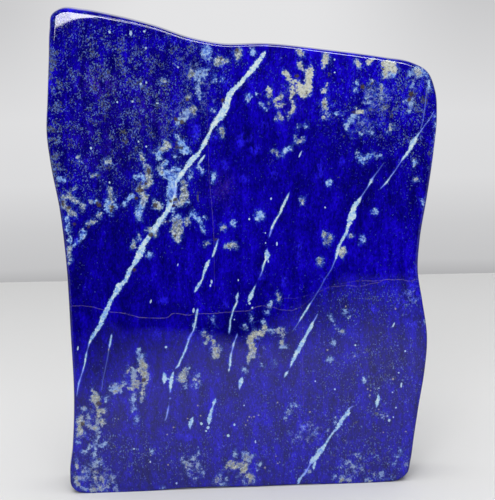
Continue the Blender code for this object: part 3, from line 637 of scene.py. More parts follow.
BEIGE_SHAPES = [
    # right of the main vein
    [(-29.3, 143.4, 0.7), (-28.2, 142, 0.8), (-27.2, 140.6, 0.9), (-27.6, 138.6, 1.2),
     (-26.8, 136.4, 1.6), (-27.2, 134.4, 1.9), (-28.2, 132.6, 1.2), (-30.2, 131.9, 0.9),
     (-31.4, 133.4, 0.9)],
    # left of it
    [(-46, 154.4, 0.5), (-45.6, 152.4, 0.8), (-44.8, 150.2, 0.7), (-43.6, 148.8, 1),
     (-43.2, 146.4, 1.3), (-43, 144.4, 1.3), (-43, 142.4, 1.4), (-43.3, 140.6, 1.3), (-44.6, 140, 1.5),
     (-46.4, 139.4, 1.4), (-47.8, 138.4, 1)],
    [(-46, 137.2, 1.2), (-45.2, 135.7, 1.2), (-45.4, 133.6, 0.8), (-46, 132.2, 0.8)],
    [(-34.5, 159.6, 0.8), (-33.4, 158.5, 1.4), (-35, 157.5, 1.2), (-36.8, 156.7, 0.8)],
    [(-40.4, 154.8, 0.4), (-42, 156, 0.4)],
    [(-36.4, 148.6, 0.8), (-37.6, 147.6, 1), (-36.8, 146.4, 0.8)],
    [(-40.4, 132.8, 0.9), (-39.4, 131.6, 1.4), (-38.6, 130.6, 0.9)],
    [(-43.7, 120.4, 0.9), (-42.1, 120.8, 1.1), (-41, 119.6, 1.2), (-40.8, 117.9, 0.6)],
    [(-37.6, 124.2, 1), (-36.4, 123.7, 0.6)],
    [(-32.9, 125, 0.4), (-31, 123.5, 1.3), (-30.7, 121.4, 2.2), (-31, 119.2, 2.3), (-30.9, 117, 1.5),
     (-30.5, 115.2, 0.6)],
    [(-29.4, 123.8, 0.9), (-28.6, 122.4, 0.5)],
    [(-26.2, 125, 0.6), (-26, 123.8, 0.9), (-27, 122.3, 0.5)],
    [(-61.2, 140, 0.7), (-60, 139.2, 0.8), (-60, 137.4, 0.9), (-60.2, 135.4, 0.9), (-59.7, 133.4, 0.9)],
    [(-61, 131.2, 0.8), (-60.2, 129.6, 0.6)],
    [(-69.5, 134.6, 1), (-69.2, 133.9, 0.8)],
    [(-72.6, 132.4, 0.6), (-73.3, 131.2, 0.8), (-72.6, 130.3, 0.6)],
    # the looped one by the left edge
    [(-79, 137.8, 0.9), (-80.7, 136.4, 0.9), (-81.4, 134.4, 0.8), (-81, 132, 1.1), (-79.4, 130.7, 1.2),
     (-78, 129, 1), (-76.8, 128, 0.9)],
    [(-79, 137.6, 0.8), (-77.6, 135.4, 0.8), (-76, 134, 0.6), (-74.5, 134.2, 0.4)],
    [(-78.6, 138.6, 0.5), (-77, 139.6, 0.35), (-75.6, 140.4, 0.25)],
    [(-79, 113.4, 0.6), (-79.7, 112, 1), (-80.2, 110.8, 0.6), (-79.7, 108.6, 0.5), (-80, 106.8, 0.4)],
    [(-74.2, 153.9, 0.5), (-73.5, 152.6, 0.7)],
    [(-60.2, 152, 1), (-61.5, 151.5, 0.5)],
    [(-67.6, 145.8, 0.4), (-66.4, 145.6, 0.6)],
    [(-65, 128.4, 0.6), (-68.4, 124.6, 0.6), (-69.6, 125, 0.6), (-70.8, 123.6, 0.5)],
    [(-50.4, 115.4, 0.5), (-50.6, 114, 0.8), (-51, 112.8, 0.5)],
    [(-48.4, 118.6, 0.3), (-48.2, 116.2, 0.35)],
    [(-18.1, 113.7, 0.5), (-17.5, 113.6, 0.5)],
    # the cream ones at the upper right
    [(31, 192.4, 0.5), (30.6, 190.4, 1), (30.2, 188, 1.4), (30, 185.8, 1.3), (29.9, 183.8, 1.5),
     (29.4, 182, 1.8), (28.2, 181, 2), (27.2, 180, 2), (27.4, 178.7, 0.9)],
    [(25.4, 181.4, 1.2), (26, 183.5, 1.2), (25.5, 185.2, 0.7)],
    [(26.2, 194, 0.5), (26.4, 192.4, 0.9), (27.8, 191, 0.6), (28.6, 189.6, 0.5)],
    [(25.2, 199.3, 0.8), (26.3, 198.6, 0.8), (27.3, 197.3, 0.7)],
    [(19.4, 190, 0.9), (20.3, 188.3, 1), (21.5, 186.6, 0.9), (22.8, 185.4, 0.9)],
    [(22.8, 182.8, 0.9), (22.8, 181, 1.2), (22, 179.2, 0.7), (21.6, 178.2, 0.4)],
    [(22, 177, 0.35), (22.7, 175.5, 0.45), (23.3, 173.9, 0.6), (22.3, 172.6, 0.5), (21.2, 171.2, 0.6),
     (20.6, 170.2, 0.3)],
    [(11.8, 182.4, 0.9), (12.3, 181, 1), (12.5, 179.4, 0.5)],
    [(12, 176, 0.8), (12.3, 174.2, 0.5)],
    [(18, 179, 0.6), (16.8, 178.3, 1.1), (15.2, 177.8, 0.6), (14.6, 176.3, 0.8), (15.3, 174.8, 0.8),
     (17, 174.4, 0.9), (18.6, 175.2, 0.7)],
    [(16.5, 171, 0.6), (16.8, 169.8, 1.1), (18, 168.8, 0.8)],
    [(14.8, 169, 0.8), (15.8, 169.4, 0.6)],
    [(37.9, 197, 0.9), (37.8, 195.4, 1.5), (37.2, 193.4, 1.2), (37, 191.6, 0.5)],
    [(36.8, 180.7, 0.8), (37.8, 182.4, 0.5), (38.2, 184, 0.4)],
    [(37.4, 177, 0.7), (36.8, 175, 1), (37.1, 173, 1.1), (37.4, 171.5, 0.6), (38.2, 170.2, 0.5)],
    [(36.4, 169.1, 0.8), (38, 168.7, 0.5)],
    [(51.5, 194.4, 0.7), (52.3, 192.8, 0.8), (53, 191.5, 0.4)],
    [(57.2, 193.2, 1.1), (58.4, 194.2, 0.8)],
    [(63.6, 192, 1.2), (65.4, 192.5, 1.7), (67.4, 191.4, 2), (68.6, 189.8, 1.4), (65, 190.2, 1.6),
     (64.8, 188, 1.2)],
    [(64.2, 186.3, 0.7), (63.7, 185.2, 0.5)],
    [(51.5, 172.4, 0.6), (52.3, 171.2, 1.3), (54, 170.9, 0.7)],
    [(24, 161.5, 0.3), (24, 160.2, 0.6), (24.8, 158.8, 0.9), (26.3, 159.2, 0.8), (26.6, 160.5, 0.4)],
    [(13.4, 154.4, 0.9), (14.8, 153.9, 0.5), (15.3, 152.4, 0.4)],
    [(66.5, 165.4, 0.5), (66.7, 163.5, 0.8), (65.8, 161.5, 0.5)],
    [(62.2, 182.4, 0.7), (62.8, 181.6, 0.5)],
]
NO_PATCH = -6.0          # mm, the reach where there is no patch near
PATCH_FADE = 0.30        # mm that a patch loses from its edge for each mm of depth
HIDDEN_DEPTH = 7.0       # mm behind the face, from where the stone has patches of its own
HIDDEN_CLUSTERS = 30     # groups of patches on the sides and the back
HIDDEN_SEED = 31
CLUSTER_DISTANCE = 80.0  # mm from the middle of the stone, give or take half of it
CLUSTER_SPREAD = 9.0     # mm
TINY = 1e-6


def turned_places(patch, places):
    """Where places lie from the middle of a patch, along and across its turn, and its half sizes."""
    centre_x, centre_z, half_x, half_z, turn = (*patch, 0)[:5]
    cosine, sine = np.cos(np.radians(turn)), np.sin(np.radians(turn))
    offset = (places - (centre_x, centre_z)) @ np.array([[cosine, -sine], [sine, cosine]])
    return offset, np.array([half_x, half_z])


def patch_reach(patches, places):
    """How far inside the nearest patch each place lies, in mm, below zero outside.

    For an ellipse that is k (1 - k) / g, with k the distance from its centre in half sizes and g
    the same distance in half sizes squared.
    """
    reach = np.full(len(places), NO_PATCH)
    for patch in patches:
        offset, half = turned_places(patch, places)
        k = np.linalg.norm(offset / half, axis=1) + TINY
        g = np.linalg.norm(offset / half**2, axis=1) + TINY
        reach = np.maximum(reach, k * (1 - k) / g)
    return reach


def stroke_reach(strokes, places):
    """How far inside the nearest stroke each place lies: its half width less the distance to it.

    A stroke is rows of x, z and half width on the face, or x, y, z and half width in space.
    """
    reach = np.full(len(places), NO_PATCH)
    for stroke in strokes:
        path = np.array(stroke, dtype=float)
        for start, end in zip(path, path[1:]):
            run = (end - start)[:-1]
            share = np.clip((places - start[:-1]) @ run / (run @ run + TINY), 0.0, 1.0)
            apart = np.linalg.norm(places - start[:-1] - share[:, None] * run, axis=1)
            reach = np.maximum(reach, start[-1] + share * (end[-1] - start[-1]) - apart)
    return reach


def hidden_strokes(seed, strokes, size):
    """Strokes on the sides and the back, in clusters placed by a seeded draw.

    A stroke starts within a few mm of its cluster's middle and goes from vertex to vertex near it.
    Each is rows of x, y, z and half width, none wider than size.
    """
    draw = np.random.default_rng(seed)
    behind = points[depth > HIDDEN_DEPTH]
    weight = np.where(behind[:, 1] < behind[:, 1].max() - BACK_ROUND, 2.0, 1.0)

    def near(middle, reach, spread):
        chance = weight * np.exp(-(((np.linalg.norm(behind - middle, axis=1) - reach) / spread) ** 2))
        return behind[draw.choice(len(behind), p=chance / chance.sum())]

    drawn = []
    for _ in range(HIDDEN_CLUSTERS):
        middle = near(points.mean(axis=0), CLUSTER_DISTANCE, CLUSTER_DISTANCE / 2)
        for _ in range(strokes):
            path = [near(middle, 0.0, CLUSTER_SPREAD)]
            for _ in range(draw.integers(1, 5)):
                path.append(near(path[-1], 1.4 * size, 0.5))
            halves = draw.uniform(0.35, 1.0, len(path)) * size
            drawn.append(np.column_stack([path, halves]))
    return drawn


face_places = points[:, [0, 2]]
patch_layers = []
for patches, shapes, hidden, size in [
    (PALE_PATCHES, PALE_SHAPES, 4, 1.3), (BEIGE_PATCHES, BEIGE_SHAPES, 2, 1.3),
    (DARK_PATCHES, [], 1, 0.8), (OLIVE_PATCHES, [], 1, 1.6), (VIVID_PATCHES, [], 1, 1.8),
]:
    reach = np.maximum(patch_reach(patches, face_places), stroke_reach(shapes, face_places))
    reach -= PATCH_FADE * depth
    behind = stroke_reach(hidden_strokes(HIDDEN_SEED, hidden, size), points)
    patch_layers.append(np.maximum(reach, behind - np.maximum(HIDDEN_DEPTH - depth, 0.0)))
pale_reach, beige_reach, dark_reach, olive_reach, vivid_reach = patch_layers
store("pale_beige_dark", (pale_reach, beige_reach, dark_reach))

# White and tan grains: single crystals of calcite and pyrite, sharp edged, given as the patches are.
# They are kept in families whose grains lie well apart, so that no mark covers another.
WHITE_GRAINS = [
    (-58.3, 209.3, 0.5, 0.6), (-49, 208.5, 0.6, 1.1), (-42.9, 209.2, 0.5, 0.5),
    (-42.4, 201.8, 0.5, 0.6), (-45.2, 186, 0.5, 0.6), (-42.7, 186.5, 0.4, 0.5), (-28.4, 193, 0.4, 0.5),
    (-49.1, 178.3, 0.5, 0.5), (-55.9, 178.2, 0.4, 0.5), (-38, 177.2, 0.7, 0.3), (-68.3, 158, 0.5, 0.6),
    (-60.5, 142.3, 0.4, 0.5), (-47, 160.3, 0.4, 0.5), (-43.6, 158, 0.4, 0.5),
    (25.5, 152.7, 0.35, 1.6, -25), (41.8, 194.7, 0.4, 0.5), (41.8, 189, 0.4, 0.4),
    (11.9, 133, 0.4, 0.6), (1.8, 124, 0.4, 0.5), (-3.8, 96.4, 0.3, 0.5), (36.3, 128.3, 0.4, 0.5),
    (9, 117.5, 0.3, 0.4), (9, 113, 0.3, 0.4), (14.1, 112.5, 0.4, 0.9), (10, 104.6, 0.35, 0.7),
    (-43.7, 87.8, 0.4, 0.9, -20), (-77.3, 67.4, 0.35, 1, -10), (-37.4, 66.7, 0.5, 0.6),
    (-31, 104.2, 0.25, 0.7, -20), (-15.9, 96, 0.45, 0.9), (-16.5, 94.3, 0.35, 0.7, -15),
    (-24.4, 83.2, 0.55, 1.1, -10), (1.1, 85.6, 0.55, 0.6), (2.3, 83.5, 0.45, 0.5),
    (-6, 78.4, 0.3, 0.35), (-19.3, 28.7, 0.75, 0.7), (-20.2, 27.2, 0.45, 0.4),
    (-22.3, 30.7, 0.6, 0.7, 30), (-7.2, 29.7, 0.5, 0.6), (-10.1, 24.7, 0.65, 0.7),
    (2.3, 21.4, 0.3, 0.7), (49.1, 64.7, 0.4, 0.4), (66.8, 73.6, 0.35, 1.3, -28),
    (70, 45.4, 0.4, 1.3, -8), (64.2, 29.1, 0.6, 0.8), (66.1, 30.6, 0.3, 0.4), (67.4, 35, 0.4, 0.4),
    (65.9, 42.2, 0.3, 0.3), (59.6, 44.4, 0.35, 0.35), (39.3, 44.6, 0.35, 0.4), (-46.1, 13.7, 0.4, 0.5),
    (-53.4, 20, 0.4, 0.4), (-34.4, 3.2, 0.35, 0.5), (72, 61.2, 0.4, 0.4), (68.9, 51.2, 0.35, 0.35),
    (-2.5, 38.5, 0.3, 0.3), (30.4, 48.6, 0.3, 0.35), (52.8, 48.6, 0.35, 0.8, -10),
]
TAN_GRAINS = [
    (-23.7, 39.2, 0.35, 0.4), (-22.5, 34.4, 0.35, 0.35), (-28.5, 33.3, 0.35, 0.3),
    (-0.2, 33.1, 0.4, 0.4), (1.9, 33.1, 0.45, 0.3), (4, 33.7, 0.4, 0.25), (-2, 29.3, 0.35, 0.35),
    (-1, 31.4, 0.25, 0.4), (12.9, 39.3, 0.3, 0.35), (-38, 26.2, 0.35, 0.3), (-38, 12, 0.4, 0.4),
    (-45.8, 16.8, 0.35, 0.25), (11.6, 14.2, 0.3, 0.3), (12.4, 10.8, 0.4, 0.3), (6.4, 9, 0.4, 0.5),
    (54.4, 44.2, 0.35, 0.5), (55.4, 41.2, 0.4, 0.4), (66.2, 48.4, 0.5, 0.5), (59.4, 34.4, 0.3, 0.3),
    (27.6, 34.4, 0.5, 0.3), (45, 82.8, 0.3, 0.5), (61.4, 23.6, 0.3, 0.3), (71.8, 23.6, 0.4, 0.25),
    (-63.4, 66.4, 0.25, 0.5), (-61.4, 34.4, 0.25, 0.25), (-60, 34.2, 0.25, 0.25),
    (55.8, 43.4, 0.3, 0.3), (-35, 29.4, 0.4, 0.3), (36.2, 63, 0.4, 0.4), (67.8, 81, 0.4, 0.5),
]
GRAIN_ROOM = 5.5         # mm between grains that are kept in one family
GRAIN_FAMILIES = 3
NO_GRAIN = -20.0         # tone where there is no grain near
FAR_GRAIN = 9.0          # place there, in half sizes
FACE_DEPTH = 3.0         # mm, deeper than this is no longer the face


def grain_marks(toned_grains, places):
    """Place within the nearest grain, in its half sizes, and its tone, far below 0 away from it."""
    marks = np.tile([FAR_GRAIN, FAR_GRAIN, NO_GRAIN], (len(places), 1))
    for grain, tone in toned_grains:
        offset, half = turned_places(grain, places)
        close = np.linalg.norm(offset, axis=1) < half.max() + MARK_MARGIN
        marks[close] = np.column_stack([offset / half, np.full(len(places), tone)])[close]
    return marks


def room_beside(grain, family):
    """Distance in mm from a grain to the nearest one of a family, or a long way if it has none."""
    return min([np.hypot(g[0] - grain[0], g[1] - grain[1]) for g, _ in family], default=99.0)


WHITE_TONE = 1.0
TAN_TONE = 2.0
grain_families = [[] for _ in range(GRAIN_FAMILIES)]
for grains, tone in [(WHITE_GRAINS, WHITE_TONE), (TAN_GRAINS, TAN_TONE)]:
    for grain in grains:
        rooms = [room_beside(grain, family) for family in grain_families]
        roomy = next((i for i, room in enumerate(rooms) if room > GRAIN_ROOM), int(np.argmax(rooms)))
        grain_families[roomy].append((grain, tone))
for number, family in enumerate(grain_families):
    marks = grain_marks(family, face_places)
    marks[depth > FACE_DEPTH, 2] = NO_GRAIN
    store(f"grains_{number}", marks.T)

# Zones of the stone: soft ellipses of x, z, half sizes and amount that add up. They say how thickly
# fine granules are sown, where a violet haze and a pale lace lie in the blue, where the beige is
# creamier, and how much brighter the blue is. That brightness is mostly the stone's own tone, but the
# last four zones are thin bands along the top and upper left edges: a painted highlight, the rounded
# rim drawn lighter where light from above falls on it.
GRANULE_ZONES = [
    (-60, 195, 34, 30, 0.8), (-66, 150, 24, 24, 0.6), (-30, 165, 20, 34, 0.5), (0, 192, 18, 14, 0.35),
    (60, 175, 30, 26, 0.6), (78, 165, 12, 34, 0.35), (-72, 24, 16, 26, 0.3), (60, 8, 24, 12, 0.5),
    (55, 86, 22, 8, 0.45), (60, 55, 30, 30, 0.45), (0, 30, 60, 36, 0.4), (-50, 16, 22, 12, 0.3),
    (-24, 203, 5, 4, 0.5), (-86, 165, 5, 60, 0.7),
]
HAZE_ZONES = [
    (-63.5, 187, 7, 6, 0.8), (-9.5, 138, 5, 6, 0.7), (-40, 175, 10, 14, 0.35),
    (-63.5, 160, 14, 14, 0.25), (20, 176, 6, 6, 0.3),
]
LACE_ZONES = [
    (54, 165, 7, 5, 0.75), (62, 179, 7, 6, 0.75), (57, 176, 6, 5, 0.4), (79, 184, 4, 6, 0.7),
    (63, 170, 5, 5, 0.3), (76, 174, 4, 5, 0.6), (-24, 192, 9, 9, 0.5), (-18, 178, 8, 10, 0.5),
    (-30, 172, 10, 6, 0.5), (-71, 35, 6, 8, 0.8), (-74, 8, 8, 7, 0.8), (-66, 5, 8, 5, 0.6),
    (-52, 52, 6, 6, 0.7), (-27, 10, 6, 8, 0.6), (-5, 8, 9, 7, 0.6), (46, 7, 10, 7, 0.6),
    (26, 25, 13, 8, 0.7), (75, 85, 7, 9, 0.6), (4, 67, 8, 8, 0.5), (20, 178, 10, 12, 0.5),
]
CREAM_ZONES = [
    (26, 185, 14, 16, 0.9), (37, 186, 6, 16, 0.5), (62, 191, 16, 7, 0.9), (52, 171, 6, 5, 0.6),
    (45, 108, 6, 6, 0.5), (6, 68, 12, 10, 0.25),
]
TONE_AND_RIM_HIGHLIGHT_ZONES = [
    (20, 185, 38, 24, 0.18), (70, 185, 24, 18, 0.14), (-10, 130, 26, 34, 0.05), (20, 110, 40, 30, 0.06),
    (60, 104, 30, 24, 0.15), (20, 26, 90, 34, 0.11), (-66, 90, 24, 40, -0.1), (-55, 170, 30, 36, -0.05),
    (0, 74, 12, 8, -0.2), (-8, 78, 8, 8, -0.2), (42, 80, 7, 6, -0.25), (-55, 8, 24, 14, -0.05),
    (70, 125, 20, 30, 0.04), (-24, 90, 30, 24, 0.05), (60, 20, 20, 16, -0.1), (60, 140, 26, 20, -0.06),
    # painted highlight: these thin bands along the top and upper left rim brighten its blue where light
    # from above falls on it
    (-85, 196, 1.6, 22, 0.35), (-70, 219.5, 16, 1.6, 0.35), (-20, 204.5, 30, 2, 0.2),
    (46, 198.5, 30, 2, 0.2),
]


def zone_amount(zones, places):
    """Sum of soft ellipses: amount times exp(-k k), with k the distance in half sizes."""
    total = np.zeros(len(places))
    for centre_x, centre_z, half_x, half_z, amount in zones:
        k = np.linalg.norm((places - (centre_x, centre_z)) / (half_x, half_z), axis=1)
        total += amount * np.exp(-k * k)
    return total


granule_amount, haze_amount, lace_amount, cream_amount, tone_and_rim_highlight = [
    zone_amount(zones, face_places)
    for zones in (GRANULE_ZONES, HAZE_ZONES, LACE_ZONES, CREAM_ZONES, TONE_AND_RIM_HIGHLIGHT_ZONES)
]
store("olive_vivid_cream", (olive_reach, vivid_reach, cream_amount))
store("zones", (granule_amount, tone_and_rim_highlight, haze_amount))
store("lace_zone", [lace_amount * (depth < FACE_DEPTH)] * 3)

# The finish of the slab: polished lapis. Dense blue lazurite with an upright grain, sown with
# granules, crossed by calcite, and flecked with brassy pyrite, under one glassy polish.
class Wire:
    """A socket that can be reckoned with: an operator on wires or numbers adds its Math node."""

    def __init__(self, finish, socket):
        self.finish = finish
        self.socket = socket

    def __add__(self, other):
        return self.finish.reckon("ADD", self, other)

    __radd__ = __add__

    def __sub__(self, other):
        return self.finish.reckon("SUBTRACT", self, other)

    def __rsub__(self, other):
        return self.finish.reckon("SUBTRACT", other, self)

    def __mul__(self, other):
        return self.finish.reckon("MULTIPLY", self, other)

    __rmul__ = __mul__

    def __abs__(self):
        return self.finish.reckon("ABSOLUTE", self)


class Finish:
    """The node tree of a material or of the room."""

    def __init__(self, owner):
        owner.use_nodes = True
        self.tree = owner.node_tree
        self.tree.nodes.clear()

    def node(self, kind, settings, inputs, output=0):
        """Add a node, give it its settings, then give each socket its value or its link."""
        node = self.tree.nodes.new(kind)
        for name, value in settings.items():
            if name == "stops":
                while len(node.color_ramp.elements) < len(value):
                    node.color_ramp.elements.new(0.5)
                for element, (place, colour) in zip(node.color_ramp.elements, value):
                    element.position = place
                    element.color = colour
            else:
                setattr(node, name, value)
        for name, value in inputs.items():
            if isinstance(value, Wire):
                self.tree.links.new(value.socket, node.inputs[name])
            else:
                node.inputs[name].default_value = value
        return Wire(self, node.outputs[output]) if node.outputs else None

    def reckon(self, operation, first, second=0.0):
        """A Math node's operation on one or two wires or numbers."""
        return self.node("ShaderNodeMath", {"operation": operation}, {0: first, 1: second})

    def larger(self, first, second):
        """The larger of two."""
        return self.reckon("MAXIMUM", first, second)

    def smooth(self, value, low, high):
        """0 below low, 1 above high, and an S curve between."""
        inputs = {"Value": value, "From Min": low, "From Max": high}
        return self.node("ShaderNodeMapRange", {"interpolation_type": "SMOOTHSTEP"}, inputs)

    def blend(self, first, second, share):
        """A colour between two, by share."""
        settings = {"data_type": "RGBA"}
        return self.node("ShaderNodeMix", settings, {0: share, 6: first, 7: second}, 2)

    def noise(self, place, size, detail=2.0, roughness=0.5):
        """Cloudy noise between 0 and 1 whose lumps are about size mm across."""
        inputs = {"Vector": place, "Scale": 1.0 / size, "Detail": detail, "Roughness": roughness}
        return self.node("ShaderNodeTexNoise", {}, inputs)

    def ramp(self, stops, value):
        """The colour that the stops, each a place and a colour, have at a value."""
        return self.node("ShaderNodeValToRGB", {"stops": stops}, {0: value})

    def stretched(self, place, along_x, along_y, along_z):
        """The place with each axis scaled, so that noise read there is stretched."""
        inputs = {0: place, 1: (along_x, along_y, along_z)}
        return self.node("ShaderNodeVectorMath", {"operation": "MULTIPLY"}, inputs)

    def stored(self, name):
        """The three numbers that the mesh stores under a name, as three wires."""
        return self.axes(self.node("ShaderNodeAttribute", {"attribute_name": name}, {}, 1))

    def axes(self, vector):
        """The three numbers of a vector, as three wires."""
        return [self.node("ShaderNodeSeparateXYZ", {}, {0: vector}, axis) for axis in range(3)]

    def surface(self, values):
        """Finish a material: one Principled shader with these values and wires."""
        shader = self.node("ShaderNodeBsdfPrincipled", {}, values)
        self.node("ShaderNodeOutputMaterial", {}, {"Surface": shader})


NIGHT_BLUE = (0.0010, 0.0003, 0.070, 1.0)
DEEP_BLUE = (0.0020, 0.0002, 0.160, 1.0)
ROYAL_BLUE = (0.0038, 0.0004, 0.290, 1.0)
BRIGHT_BLUE = (0.0080, 0.0018, 0.470, 1.0)
VIVID_BLUE = (0.020, 0.014, 0.760, 1.0)
VIOLET_GREY = (0.060, 0.024, 0.190, 1.0)
SKY_BLUE = (0.100, 0.200, 0.540, 1.0)
PALE_SKY = (0.230, 0.370, 0.600, 1.0)
PALE_GREY = (0.350, 0.430, 0.520, 1.0)
MID_BLUE = (0.035, 0.080, 0.350, 1.0)
DUSK_BLUE = (0.080, 0.135, 0.340, 1.0)
ICE_BLUE = (0.235, 0.365, 0.530, 1.0)
ICE_WHITE = (0.450, 0.520, 0.510, 1.0)
GRAIN_WHITE = (0.340, 0.460, 0.600, 1.0)
HAIR_BLUE = (0.170, 0.220, 0.800, 1.0)
CREAM = (0.400, 0.430, 0.430, 1.0)
BEIGE = (0.220, 0.235, 0.205, 1.0)
GREY_BEIGE = (0.105, 0.112, 0.110, 1.0)
DULL_GREY = (0.190, 0.230, 0.300, 1.0)
OLIVE = (0.050, 0.055, 0.038, 1.0)
WARM_CREAM = (0.430, 0.420, 0.270, 1.0)
BROWN = (0.040, 0.028, 0.016, 1.0)
TAN = (0.220, 0.205, 0.140, 1.0)
HEALED_TAN = (0.120, 0.090, 0.150, 1.0)

lapis = bpy.data.materials.new("polished_lapis")
slab_mesh.materials.append(lapis)
stone = Finish(lapis)
object_place = stone.node("ShaderNodeTexCoord", {}, {}, 3)
place = stone.node("ShaderNodeVectorMath", {"operation": "SCALE"}, {0: object_place, "Scale": 1.0 / MM})
granule_zone, tone_and_rim_highlight_zone, haze_zone = stone.stored("zones")
pale_in, beige_in, dark_in = stone.stored("pale_beige_dark")
olive_in, vivid_in, cream_zone = stone.stored("olive_vivid_cream")
lace_zone = stone.stored("lace_zone")[0]

# the blue, with an upright grain, lighter where its zones say; along the top and upper left rim that is a
# painted highlight
upright = stone.stretched(place, 1.0, 1.0, 0.13)
short_grain = stone.stretched(place, 1.0, 1.0, 0.45)
streaks = stone.noise(upright, 5.0, 4.0, 0.6) - 0.5
mottle = stone.noise(short_grain, 4.0, 6.0, 0.70) - 0.5
fine = stone.noise(short_grain, 0.8, 2.0, 0.6) - 0.5
shade = 0.27 + tone_and_rim_highlight_zone + streaks * 0.75 + mottle * 1.35 + fine * 0.9
blue_stops = [
    (0.0, NIGHT_BLUE), (0.28, DEEP_BLUE), (0.52, ROYAL_BLUE), (0.78, BRIGHT_BLUE), (1.0, VIVID_BLUE),
]
blue = stone.ramp(blue_stops, shade)
ragged = stone.noise(place, 3.0, 6.0, 0.75) - 0.5
lace = stone.noise(place, 0.8, 2.0, 0.6) - 0.5
vivid_mask = stone.smooth(vivid_in + ragged * 7.0, -1.5, 1.5) * stone.smooth(mottle + fine, -0.25, 0.25)
colour = stone.blend(blue, VIVID_BLUE, vivid_mask * 0.6)
colour = stone.blend(colour, VIOLET_GREY, haze_zone * stone.smooth(mottle + lace * 0.5, -0.12, 0.15) * 0.45)

# granules: dark, olive and pale ones, in loose clumps, thick where their zone says
clumps = stone.smooth(stone.noise(place, 4.6, 3.0, 0.6), 0.38, 0.62)
olive_zone = stone.smooth(olive_in + ragged * 4.0, -1.2, 1.6)
sown = granule_zone * (0.35 + clumps * 1.3)
seed_place = stone.stretched(place, 1.0, 1.3, 0.85)
dark_seeds = stone.noise(seed_place, 1.0, 2.0, 0.65) + sown * 0.09
olive_seeds = stone.noise(stone.stretched(seed_place, -1.0, 1.0, 1.0), 0.8, 3.0, 0.7)
olive_seeds = olive_seeds + sown * 0.15 + olive_zone * 0.22
pale_seeds = stone.noise(stone.stretched(seed_place, 1.0, 1.0, -1.0), 0.75, 3.0, 0.7) + sown * 0.12
colour = stone.blend(colour, NIGHT_BLUE, stone.smooth(dark_seeds, 0.55, 0.69) * 0.7)
colour = stone.blend(colour, DUSK_BLUE, stone.smooth(pale_seeds, 0.64, 0.75) * 0.85)
colour = stone.blend(colour, OLIVE, stone.smooth(olive_seeds, 0.70, 0.78) * 0.72)

# pale blue lace and grey beige calcite in the patches, a little duller in the lower part
lace_tone = stone.noise(place, 1.5, 5.0, 0.72)
height = stone.axes(place)[2]
low_dull = stone.smooth(height, 110.0, 70.0) * 0.04
patch_edge = ragged * 6.0 + lace * 2.6
gaps = stone.noise(stone.stretched(place, 1.0, -1.0, 1.0), 1.3, 4.0, 0.7)
pale_reach = stone.larger(pale_in, beige_in) + patch_edge - lace_zone * 0.4
lace_mask = stone.smooth(lace_zone * 3.0 - 2.2 + ragged * 9.0, -1.0, 1.0)
threads = stone.smooth(abs(stone.noise(place, 1.8, 4.0, 0.6) - 0.5), 0.07, 0.0)
threads = threads * stone.smooth(lace_tone, 0.42, 0.56)
halo = stone.larger(stone.smooth(pale_reach, -1.6, 0.2) * 0.8, lace_mask)
halo_mask = halo * stone.smooth(gaps, 0.44, 0.60)
colour = stone.blend(colour, MID_BLUE, halo_mask * 0.75)
colour = stone.blend(colour, PALE_GREY, threads * lace_mask * 0.38)
pale_mask = stone.smooth(pale_reach, -0.4, 0.5) * (0.25 + 0.75 * stone.smooth(gaps, 0.36, 0.52))
pale_stops = [(0.36, MID_BLUE), (0.46, SKY_BLUE), (0.57, PALE_SKY), (0.70, PALE_GREY)]
pale_colour = stone.ramp(pale_stops, (lace_tone - 0.5) * 1.2 + 0.5 + cream_zone * 0.04 - low_dull)
pale_colour = stone.blend(pale_colour, DULL_GREY, low_dull * 10.0 + lace_zone * 0.75)
colour = stone.blend(colour, pale_colour, pale_mask * 0.88)
beige_reach = beige_in + patch_edge * 0.85
beige_gaps = stone.smooth(gaps + cream_zone * 0.08 - low_dull, 0.36, 0.50)
beige_mask = stone.smooth(beige_reach, -0.3, 0.5) * (0.3 + 0.7 * beige_gaps)
beige_tone = (stone.noise(place, 1.1, 4.0, 0.75) - 0.5) * 1.5 + 0.5 + cream_zone * 0.12 - low_dull
beige_tone = beige_tone + stone.smooth(beige_reach, 0.0, 1.6) * 0.05
beige_stops = [(0.38, OLIVE), (0.47, GREY_BEIGE), (0.56, BEIGE), (0.69, CREAM)]
beige_colour = stone.ramp(beige_stops, beige_tone)
beige_colour = stone.blend(beige_colour, WARM_CREAM, cream_zone * 0.55 + low_dull * 6.0)
blue_flecks = stone.noise(stone.stretched(place, -1.0, 1.0, 1.0), 1.1, 3.0, 0.7)
blue_flecks = stone.smooth(blue_flecks, 0.54, 0.62)
beige_colour = stone.blend(beige_colour, SKY_BLUE, blue_flecks * (0.55 - 0.35 * cream_zone))
colour = stone.blend(colour, beige_colour, beige_mask * 0.92)
dark_mask = stone.smooth(dark_in + lace * 1.6 + ragged * 1.5, -0.5, 0.1)

# veins: their edges wander and break up where they are wide, and hairlines are a purer blue
edge_wander = (stone.noise(place, 1.7, 2.0, 0.6) - 0.5) * 0.9
width_wander = stone.noise(place, 2.3, 2.0, 0.6) * 0.9 + 0.4
edge_break = (stone.noise(place, 0.8, 3.0, 0.7) - 0.5) * 2.0
vein_mask = vein_fringe = vein_thin = 0.0
for family in VEIN_FAMILIES:
    offset, half, strength = stone.stored(family)
    body = stone.smooth(half, 0.0, 1.0)
    inside = half * width_wander - abs(offset + edge_wander * body) + edge_break * body
    mask = stone.smooth(inside, -0.15, 0.15) * strength
    fringe = stone.smooth(inside, -0.6, 0.1) * strength
    thin = stone.smooth(strength, 1.0, 0.7) * stone.smooth(inside, -1.0, -0.3)
    vein_mask = stone.larger(vein_mask, mask)
    vein_fringe = stone.larger(vein_fringe, fringe)
    vein_thin = stone.larger(vein_thin, thin)
colour = stone.blend(colour, SKY_BLUE, vein_fringe * 0.25)
